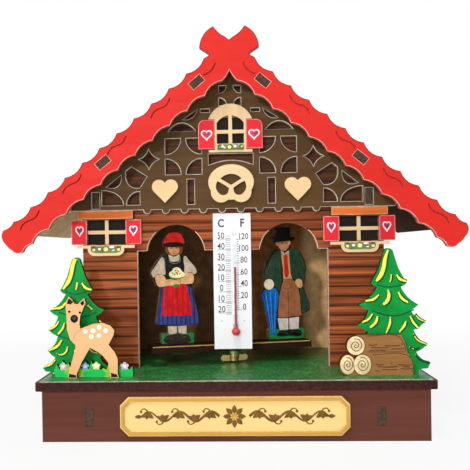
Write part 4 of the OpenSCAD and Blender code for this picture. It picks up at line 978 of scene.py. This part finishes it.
LOG_LINES = (
    ("bark_marks", "bark", 0.38, 0.1, (-3.4, 12.6, -1.6, 12.4, 0.2, 12.9), (-2.4, 11.6, 1.4, 11.4, 4.6, 11.6),
        (3.2, 12.2, 7.4, 12.1, 9.2, 12.3), (6, 10.9, 8.8, 10.8, 11, 11), (-3, 10.2, 0.8, 10.4, 3.4, 10.1),
        (9.6, 12.9, 10.6, 12.7), (-0.6, 4.6, 1.2, 4.3, 2.6, 4.6), (0.2, 3.6, 4, 3.4, 8.2, 3.7), (5.4, 5, 6.2, 4.9),
        (8.4, 4.4, 11.8, 4.2, 14, 4.3), (2, 2.5, 5.4, 2.3, 8, 2.4), (9.4, 2.7, 12.6, 2.6, 14.2, 2.8),
        (-0.8, 1.9, 1, 1.8), (10.2, 3.5, 13.2, 3.4)),
    ("edges", "bark", 0.3, 0.08, (-4.2, 16.2, 8, 16.3, 9.4, 15.2, 11.4, 11.6, 11.6, 9.9),
        (-2, 8.5, 11.4, 8.5, 13.4, 7.2, 14.6, 4.4, 14.2, 1.4), (-3.6, 9.7, 4, 9.6, 11.2, 9.6)),
)


# The pieces, each group with its operator

# Where the printed faces stand along Y, in millimetres: less than 0 is in front of the house's middle
CARD, SIDE_SHUTTER, GABLE_SHUTTER, BOWL, STRIP = -23.6, -24, -27.2, -25.6, -28
TREE, DEER, MEADOW, LOGS, PLATE, PANEL = -43, -50.3, -47.1, -48.2, -58.7, -58.04
# The beam's face and the figures' faces are measured from the gut instead
BEAM_EDGE, FIGURE = -5.8, 1.5
# How high the feet of the drawings and the beam's pale line are, in millimetres
GRASS_TOP, DEER_FOOT, BEAM_LINE, BEAM_TOP = 24.8, 24.9, 34, 34.3
# Where the gut stands along Y, in millimetres, and how far the beam is turned in the photograph
GUT_Y, BEAM_TURN = -8.4, math.radians(16)


class WEATHERHOUSE_OT_base(bpy.types.Operator):
    """Stain the base box, the deck and the bare boards, and lay the printed grass"""

    bl_idname = "weather_house.base"
    bl_label = "Base and Boards"

    def execute(self, context):
        paints = context.scene.weather_house_paints
        raw = paints.raw_board
        stained = board("stained board", paints.base, srgb(84, 50, 42), raw, 0.5, 0.5, 0.55)
        dress(stained, "base_front", "base_end_left", "base_end_right", "base_back")
        dress(board("dark deck board", paints.deck, srgb(60, 32, 28), raw, 0.45, 0.4, 0.6, (2, 1)), "deck")
        dress(grass(paints), "grass_sheet")
        dress(tabbed_board("rib board", paints, 0.5), "base_rib_left", "base_rib_right")
        dress(tabbed_board("side wall board", paints, 1.0), "side_wall_left", "side_wall_right")
        dress(back_wall_board(paints), "back_wall")
        dress(bare_board(paints), "ceiling_plate")
        return {"FINISHED"}


class WEATHERHOUSE_OT_house(bpy.types.Operator):
    """Print the plank wall, paint the bargeboard and stain the roof"""

    bl_idname = "weather_house.house"
    bl_label = "Walls and Roof"

    def execute(self, context):
        paints = context.scene.weather_house_paints
        raw = paints.raw_board
        dress(planks(paints), "front_wall")
        # the left panel's underside is painted paler than bare board, as painted light, and the right one's dark
        # brown, as painted shade
        dress(roof("left roof board", paints, srgb(255, 226, 186)), "roof_panel_left")
        dress(roof("right roof board", paints, srgb(78, 48, 24)), "roof_panel_right")
        dress(board("red board", paints.bargeboard, srgb(176, 120, 104), raw, 0.42, 0.28, 0.72), "bargeboard")
        dress(board("fretwork board", paints.fretwork, srgb(150, 132, 106), raw, 0.45, 0.6, 0.55), "fretwork_panel")
        width = context.scene.weather_house_sizes.outline_width
        rim("fretwork_outline", "fretwork_panel", width, 0.3 * MM, "fret_edge")
        rim("bargeboard_outline", "bargeboard", width, 0.14 * MM, "barge_edge", inner_edge)
        rim("bargeboard_cusp_line", "bargeboard", 0.7 * width, 0.1 * MM, "barge_line", outer_edge)
        rim("doorway_edges", "front_wall", 0.4 * MM, 0.2 * MM, "arch_edge", doorway_edge)
        return {"FINISHED"}


class WEATHERHOUSE_OT_trim(bpy.types.Operator):
    """Finish the pale wood, the hearts, the shutters and the lintels"""

    bl_idname = "weather_house.trim"
    bl_label = "Trim"

    def execute(self, context):
        paints = context.scene.weather_house_paints
        edge, along, upright = srgb(150, 112, 70), (25, 25, 420), (420, 25, 25)
        for name, face, cut, rough, grain, dark, stretch, nodes in (
            ("pale wood", paints.pale_wood, edge, 0.5, 0.5, 0.76, along,
                ("gable_pretzel", "left_cross", "right_cross", "left_sill", "right_sill")),
            ("pale upright wood", paints.pale_wood, edge, 0.5, 0.6, 0.76, upright, ("gable_window",)),
            ("heart wood", paints.heart_wood, edge, 0.5, 0.6, 0.76, along, ("gable_heart_left", "gable_heart_right")),
            ("shutter red", paints.shutters, srgb(150, 60, 56), 0.42, 0.25, 0.75, along,
                ("gable_shutter_left", "gable_shutter_right", "left_inner_shutter", "left_outer_shutter",
                    "right_inner_shutter", "right_outer_shutter")),
            ("orange board", paints.lintel, srgb(150, 84, 48), 0.45, 0.8, 0.5, along, ("left_lintel", "right_lintel")),
        ):
            dress(board(name, face, cut, None, rough, grain, dark, stretch=stretch), *nodes)
        dress(ink("olive"), "gable_flowers")
        for side, word in ((-1, "left"), (1, "right")):
            for owner, x, z, y, across, high, inside in (
                (f"{word}_outer_heart", 68, 86.2, SIDE_SHUTTER, 3.9, 4.8, "heart_plum"),
                (f"{word}_inner_heart", 43.8, 86.2, SIDE_SHUTTER, 3.9, 4.8, "heart_plum"),
                (f"{word}_gable_heart", 10.4, 127.4, GABLE_SHUTTER, 5.2, 4.8, "heart_pink"),
            ):
                place = front(side * x, y, z)
                field(owner + "_inside", (heart(0, 0.05, across - 1.5, high - 1.6),), place, inside)
                line = closed(heart(0, 0, across - 0.75, high - 0.75))
                strokes(owner + "_line", (line,), 0.66, place, "heart_white", height=0.16)
            for node in (f"{word}_outer_shutter", f"{word}_inner_shutter", f"gable_shutter_{word}"):
                rim(node + "_edge", node, 0.36 * MM, 0.14 * MM, "shutter_edge")
            rim(f"{word}_lintel_edge", f"{word}_lintel", 0.3 * MM, 0.14 * MM, "arch_edge")
            print_picture(word + "_bowl", BOWL_PRINT, BOWL_LINES, front(side * 56, BOWL, 0))
        print_picture("gable_strip", STRIP_PRINT, STRIP_LINES, front(0, STRIP, 0))
        dress(dark_pane(), "gable_pane", "left_pane", "right_pane")
        return {"FINISHED"}


class WEATHERHOUSE_OT_thermometer(bpy.types.Operator):
    """Finish the card, the glass tube and the red spirit"""

    bl_idname = "weather_house.thermometer"
    bl_label = "Thermometer"

    def execute(self, context):
        dress(white_card(), "thermometer_card")
        dress(glass(), "thermometer_tube")
        dress(spirit(), "spirit_column")
        card = front(0, CARD, 0)
        left = ((50, 83.4), (40, 78.75), (30, 74.0), (20, 69.3), (10, 64.8), (0, 60.2), (10, 55.4), (20, 50.7))
        right = ((120, 83.0), (100, 77.8), (80, 72.6), (60, 67.3), (40, 62.15), (20, 56.9), (0, 51.7))
        figures("scale_letters", (("C", -4.8, 88.9), ("F", 4.66, 88.9)), 3.7, card, "scale_grey", 0.025)
        figures("scale_celsius", [(str(n), -4.9, z) for n, z in left], 2.9, card, "scale_grey", 0.008)
        figures("scale_fahrenheit", [(str(n), 5.2, z) for n, z in right], 2.8, card, "scale_grey", 0.008)
        bed = (0.04, 44.2, 2.36, 44.2, 2.36, 86.4, 0.04, 86.4)
        field("scale_tube_bed", (bed,), card, "tube_bed", height=0.03, lip=0.005)
        figures("scale_small", (("-", -5.0, 45.4), ("-", 5.0, 45.4)), 0.3, card, "scale_pale")

        # where the lowest line of each scale stands, and what a degree is high
        foot, long_foot, degree = 49.4, 49.0, (82.2 - 49.4) / 70
        ticks = [((-2.9, foot + n * degree), (-0.5, foot + n * degree)) for n in range(-2, 73, 2)]
        ticks += [((-6.2, long_foot + n * degree), (-0.5, long_foot + n * degree)) for n in range(0, 71, 10)]
        strokes("scale_celsius_lines", ticks, 0.22, card, "scale_pale", height=0.05, rounded=False)
        foot, degree = 50.3, (81.6 - 50.3) / 60
        dots = [oval(2.55, foot + n * degree, 0.5, points=6) for n in range(0, 61, 2)]
        field("scale_fahrenheit_dots", dots, card, "scale_grey", height=0.05, lip=0.01)
        marks = [((1.7, foot + n * degree), (4.2, foot + n * degree)) for n in range(0, 61, 10)]
        strokes("scale_fahrenheit_lines", marks, 0.16, card, "scale_grey", height=0.05, rounded=False)
        return {"FINISHED"}


class WEATHERHOUSE_OT_beam(bpy.types.Operator):
    """Finish the beam, its bolt and nut, the gut, the knob and the two figures"""

    bl_idname = "weather_house.beam"
    bl_label = "Beam and Metal"

    def execute(self, context):
        paints = context.scene.weather_house_paints
        dress(board("beam wood", paints.beam, tint(paints.beam, 0.7), None, 0.5, 0.7, 0.45), "beam")
        dress(brass(), "beam_bolt", "wing_nut", "adjuster_bush", "adjuster_knob")
        dress(steel(), "beam_washer")
        twisted = gut()
        dress(twisted, "gut_cord")
        self.twisted_gut(twisted)
        figure_board = board("figure board", srgb(40, 29, 22), srgb(150, 112, 84), paints.raw_board, 0.5, 0.5, 0.6)
        dress(figure_board, "woman_figure", "man_figure")
        swung = Matrix.Translation((0, GUT_Y * MM, 0)) @ Matrix.Rotation(BEAM_TURN, 4, "Z")
        edge = [(x, BEAM_LINE) for x in (-38.9, -20, 0, 20, 35.7)]
        place = swung @ front(0, BEAM_EDGE, 0)
        strokes("beam_pale_edge", (edge,), 0.5, place, "beam_edge", "beam", rounded=False)
        for owner, x, fields, lines in (("woman", -26, WOMAN_PRINT, WOMAN_LINES), ("man", 26.8, MAN_PRINT, MAN_LINES)):
            print_picture(owner, fields, lines, swung @ front(x, FIGURE, BEAM_TOP), "beam")
        return {"FINISHED"}

    def twisted_gut(self, material):
        """Three strands laid round each other, from the bolt up to the knob."""
        low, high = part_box("gut_cord")
        middle = (low + high) / 2
        piece = start_curve(False)
        turns, steps, reach, thickness = 20, 8, 0.17 * MM, 0.44 * MM
        for strand in range(3):
            spline = piece.data.splines.new("POLY")
            spline.points.add(turns * steps)
            for index, point in enumerate(spline.points):
                angle = 2 * math.pi * (index / steps + strand / 3)
                height = low.z + (high.z - low.z) * index / (turns * steps)
                point.co = (middle.x + reach * math.cos(angle), middle.y + reach * math.sin(angle), height, 1)
        piece.data.bevel_depth = thickness / 2
        piece.data.bevel_resolution = 2
        piece.data.use_fill_caps = True
        bpy.ops.object.convert(target="MESH")
        piece = settle(bpy.context.object, "gut_strands", Matrix.Identity(4), material, "beam", 70)
        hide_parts("gut_cord")


class WEATHERHOUSE_OT_yard(bpy.types.Operator):
    """Print the trees, the deer, the meadow and the log pile"""

    bl_idname = "weather_house.yard"
    bl_label = "Yard"

    def execute(self, context):
        paints = context.scene.weather_house_paints
        raw = paints.raw_board
        dress(tree_print(paints), "tree_left", "tree_right")
        dress(board("deer board", paints.deer, srgb(90, 60, 40), raw, 0.45, 0.2, 0.85), "deer")
        dress(meadow_print(paints), "meadow")
        dress(board("log board", paints.logs, srgb(78, 50, 34), raw, 0.5, 0.8, 0.6), "log_pile")
        for owner, x, rows, tiers in (
            ("tree_left", -66, TREE_LEFT_LIGHTS, TREE_LEFT_TIERS),
            ("tree_right", 65, TREE_RIGHT_LIGHTS, TREE_RIGHT_TIERS),
        ):
            place = front(x, TREE, GRASS_TOP)
            strokes(owner + "_tiers", tiers, 0.6, place, "tier_line", height=0.08)
            lights = [tuple(zip(row[::3], row[1::3], row[2::3])) for row in rows]
            dark = [tuple((a + 0.15, b - 0.15, wide + 0.3) for a, b, wide in path) for path in lights]
            strokes(owner + "_light_lines", dark, 1.9, place, "tree_line", height=0.1)
            strokes(owner + "_lights", lights, 1.9, place, "tree_light", height=0.18)
        print_picture("deer", DEER_PRINT, DEER_LINES, front(-60.8, DEER, DEER_FOOT))
        self.meadow_flowers(front(-60.8, MEADOW, GRASS_TOP))
        self.log_print(front(58.6, LOGS, GRASS_TOP), "log_brown")
        return {"FINISHED"}

    def meadow_flowers(self, place):
        """Four small flowers, one of each colour."""
        slot, reach = "meadow_green", 1.05
        turns = [math.radians(90 + 72 * n) for n in range(5)]
        petals = [oval(reach * math.cos(turn), reach * math.sin(turn), 1.35) for turn in turns]
        for x, z, tone in ((-10.4, 4.5, "pink"), (-1.2, 4.5, "blue"), (3.5, 4.7, "yellow"), (15.4, 4.5, "lilac")):
            bloom, colour = place @ Matrix.Translation((x, z, 0)), "petal_" + tone
            for index, petal in enumerate(petals):
                height = 0.14 + 0.02 * (index % 2)
                field(f"meadow_{colour}_{index}", (petal,), bloom, colour, height=height, rounded=True)
            field(f"meadow_{colour}_heart", (oval(0, 0, 1.5),), bloom, "white", height=0.22, rounded=True)

    def log_print(self, place, slot):
        """Cut ends with their rings, and the marks in the bark."""
        for index, (x, z, across, high, height) in enumerate((
            (-8.6, 12.3, 7.4, 7.8, 0.14), (-12.0, 4.5, 6.2, 8.2, 0.14), (-6.0, 4.5, 7.2, 8.4, 0.2),
        )):
            end, edge = oval(x, z, across, high, 14), closed(oval(x, z, across, high, 28))
            field(f"log_end_{index}", (end,), place, "log_cream", height=height, rounded=True)
            rings = spiral(x, z, across * 0.74, high * 0.74, 2.2, 0.6)
            strokes(f"log_rings_{index}", (rings,), 0.52, place, "log_ring", height=height + 0.07)
            strokes(f"log_end_edge_{index}", (edge,), 0.36, place, "bark", height=height + 0.05)
        print_picture("log", (), LOG_LINES, place)


class WEATHERHOUSE_OT_plate(bpy.types.Operator):
    """Finish the nameplate"""

    bl_idname = "weather_house.plate"
    bl_label = "Nameplate"

    def execute(self, context):
        gold = context.scene.weather_house_paints.gold
        dress(board("plate board", srgb(234, 206, 136), gold, None, 0.42, 0.35, 0.86), "nameplate")
        board("gold rim", gold, tint(gold, 0.7), None, 0.34, 0.3, 0.7)
        paint("gilt", (206, 156, 66), 0.3)
        middle = 10.5
        edge = (octagon(91.0, 14.8, 3.3, middle), octagon(88.8, 12.6, 2.75, middle))
        field("nameplate_rim", edge, front(0, PLATE, 0), "gold rim", height=0.2, lip=0.1)
        self.vine(front(0, PANEL, middle), "plate")
        return {"FINISHED"}

    def vine(self, place, slot):
        """A plain vine each side of a rosette."""
        count, wave = 30, 1.9
        stems, leaves, buds = [], [], []
        for side in (-1, 1):
            stems.append([
                (side * (6.0 + 31.5 * share), wave * math.sin(2 * math.pi * 2.5 * share), 1.35 - 0.7 * share)
                for share in (n / count for n in range(count + 1))
            ])
            for n in range(5):
                x, up = 9.0 + 6.3 * n, 1 if n % 2 == 0 else -1
                z = wave * up
                for shift, lean, length in ((-0.6, 150, 4.3), (0.8, 96, 3.0), (1.8, 36, 4.4)):
                    angle = lean * -up if side < 0 else (180 - lean) * -up
                    leaves.append(leaf(side * (x + shift), z, length, 2.2, angle))
                curl = ((0.5, 0, 0.8), (1.6, 1.1, 0.6), (2.9, 1.0, 0.5), (3.3, 0.2, 0.4))
                stems.append([(side * (x + a), z + b * up, wide) for a, b, wide in curl])
                buds.append(oval(side * (x + 3.3), z + 0.1 * up, 1.0))
            leaves.append(leaf(side * 37.0, 0, 3.2, 1.6, 0 if side > 0 else 180))
        for angle in range(0, 360, 45):
            turn = math.radians(angle)
            leaves.append(leaf(1.1 * math.cos(turn), 1.1 * math.sin(turn), 3.5, 2.1, angle))
        strokes("nameplate_stems", stems, 0.86, place, "ornament")
        for index, points in enumerate(leaves):
            field(f"nameplate_leaf_{index}", (points,), place, "ornament", height=0.13 + 0.02 * (index % 3))
        field("nameplate_buds", buds, place, "ornament", height=0.2, rounded=True)
        field("nameplate_rosette_heart", (oval(0, 0, 2.2),), place, "gilt", height=0.26, rounded=True)


class WEATHERHOUSE_OT_stage(bpy.types.Operator):
    """Make the floor, the backdrop, the lamps and the camera"""

    bl_idname = "weather_house.stage"
    bl_label = "Stage"

    def execute(self, context):
        studio = context.scene.weather_house_studio
        self.floor()
        self.backdrop(context.scene, studio.room_light)
        for name, place, size, power in (
            ("key_lamp", (-0.25, -0.86, 0.33), 0.07, studio.key_power),
            ("low_lamp", (-0.02, -0.9, 0.06), 0.25, studio.low_power),
            ("top_lamp", (-0.1, -0.42, 0.78), 0.35, studio.top_power),
            ("fill_lamp", (-0.55, -0.42, 0.14), 0.3, studio.fill_power),
        ):
            aim = Vector((0, -0.01, 0.08)) - Vector(place)
            bpy.ops.object.light_add(type="AREA", location=place, rotation=aim.to_track_quat("-Z", "Y").to_euler())
            lamp = context.object
            lamp.name = name
            lamp.data.shape = "DISK"
            lamp.data.size = size
            lamp.data.energy = power
        self.camera(context.scene, studio.focal_length)
        context.scene.view_settings.view_transform = "Standard"
        return {"FINISHED"}

    def floor(self):
        """A pale floor that fades into the backdrop away from the house."""
        deselect()
        bpy.ops.mesh.primitive_plane_add(size=6, location=(0, 0, 0))
        floor = bpy.context.object
        floor.name = "studio_floor"
        look = Look("studio floor", 0.7)
        material = look.done((0.9, 0.9, 0.9))
        glow = look.put("Emission", {"Color": (1, 1, 1, 1), "Strength": 1.0}).outputs[0]
        here = look.put("TexCoord").outputs["Object"]
        reach = look.put("VectorMath", {0: here}, operation="LENGTH").outputs["Value"]
        share = look.times(look.seen(), look.steps(reach, 0.14, 0.5, 0.88, 1.0))
        painted = look.tree.nodes["Principled BSDF"].outputs[0]
        mixed = look.put("MixShader", {0: share, 1: painted, 2: glow})
        look.join(mixed.outputs[0], look.tree.nodes["Material Output"].inputs["Surface"])
        floor.data.materials.append(material)

    def backdrop(self, scene, strength):
        """White to the camera, and a soft light to the pieces."""
        world = scene.world = scene.world or bpy.data.worlds.new("studio")
        world.use_nodes = True
        world.node_tree.nodes.clear()
        look = Nodes(world.node_tree)
        plain, soft = (
            look.put("Background", {"Color": (1, 1, 1, 1), "Strength": level}).outputs[0] for level in (1.0, strength)
        )
        mixed = look.put("MixShader", {0: look.seen(), 1: soft, 2: plain})
        look.put("OutputWorld", {"Surface": mixed.outputs[0]})

    def camera(self, scene, focal_length):
        """Where the camera stood, in metres, with its small turns, in radians."""
        place, yaw, rise, roll = (0.00028, -0.36633, 0.078), 0.04895, -0.00956, -0.0153
        forward = Vector((-math.sin(yaw) * math.cos(rise), math.cos(yaw) * math.cos(rise), math.sin(rise)))
        right = Vector((math.cos(yaw), math.sin(yaw), 0))
        up = right.cross(forward)
        right, up = math.cos(roll) * right + math.sin(roll) * up, math.cos(roll) * up - math.sin(roll) * right
        axes = Matrix((right, up, -forward)).transposed()
        bpy.ops.object.camera_add(location=place, rotation=axes.to_euler())
        camera = scene.camera = bpy.context.object
        camera.name = "photo_camera"
        camera.data.sensor_width = 36
        camera.data.lens = focal_length
        # the photograph is a little off the middle of the lens
        camera.data.shift_x, camera.data.shift_y = 0.0852, 0.0437
        camera.data.clip_start = 0.01


class WEATHERHOUSE_PT_panel(bpy.types.Panel):
    """Lists the operators that dress the weather house"""

    bl_idname = "WEATHERHOUSE_PT_panel"
    bl_label = "Weather House"
    bl_space_type = "VIEW_3D"
    bl_region_type = "UI"
    bl_category = "Weather House"

    def draw(self, context):
        for operator in OPERATORS:
            self.layout.operator(operator.bl_idname)


GROUPS = (
    ("weather_house_paints", WeatherHousePaints),
    ("weather_house_sizes", WeatherHouseSizes),
    ("weather_house_studio", WeatherHouseStudio),
)
OPERATORS = (
    WEATHERHOUSE_OT_base,
    WEATHERHOUSE_OT_house,
    WEATHERHOUSE_OT_trim,
    WEATHERHOUSE_OT_thermometer,
    WEATHERHOUSE_OT_beam,
    WEATHERHOUSE_OT_yard,
    WEATHERHOUSE_OT_plate,
    WEATHERHOUSE_OT_stage,
)


def register():
    for name, group in GROUPS:
        bpy.utils.register_class(group)
        setattr(bpy.types.Scene, name, PointerProperty(type=group))
    for kind in (*OPERATORS, WEATHERHOUSE_PT_panel):
        bpy.utils.register_class(kind)


def unregister():
    for kind in (WEATHERHOUSE_PT_panel, *reversed(OPERATORS)):
        bpy.utils.unregister_class(kind)
    for name, group in reversed(GROUPS):
        delattr(bpy.types.Scene, name)
        bpy.utils.unregister_class(group)


def main():
    register()
    for operator in OPERATORS:
        family, name = operator.bl_idname.split(".")
        getattr(getattr(bpy.ops, family), name)()


if __name__ == "__main__":
    main()
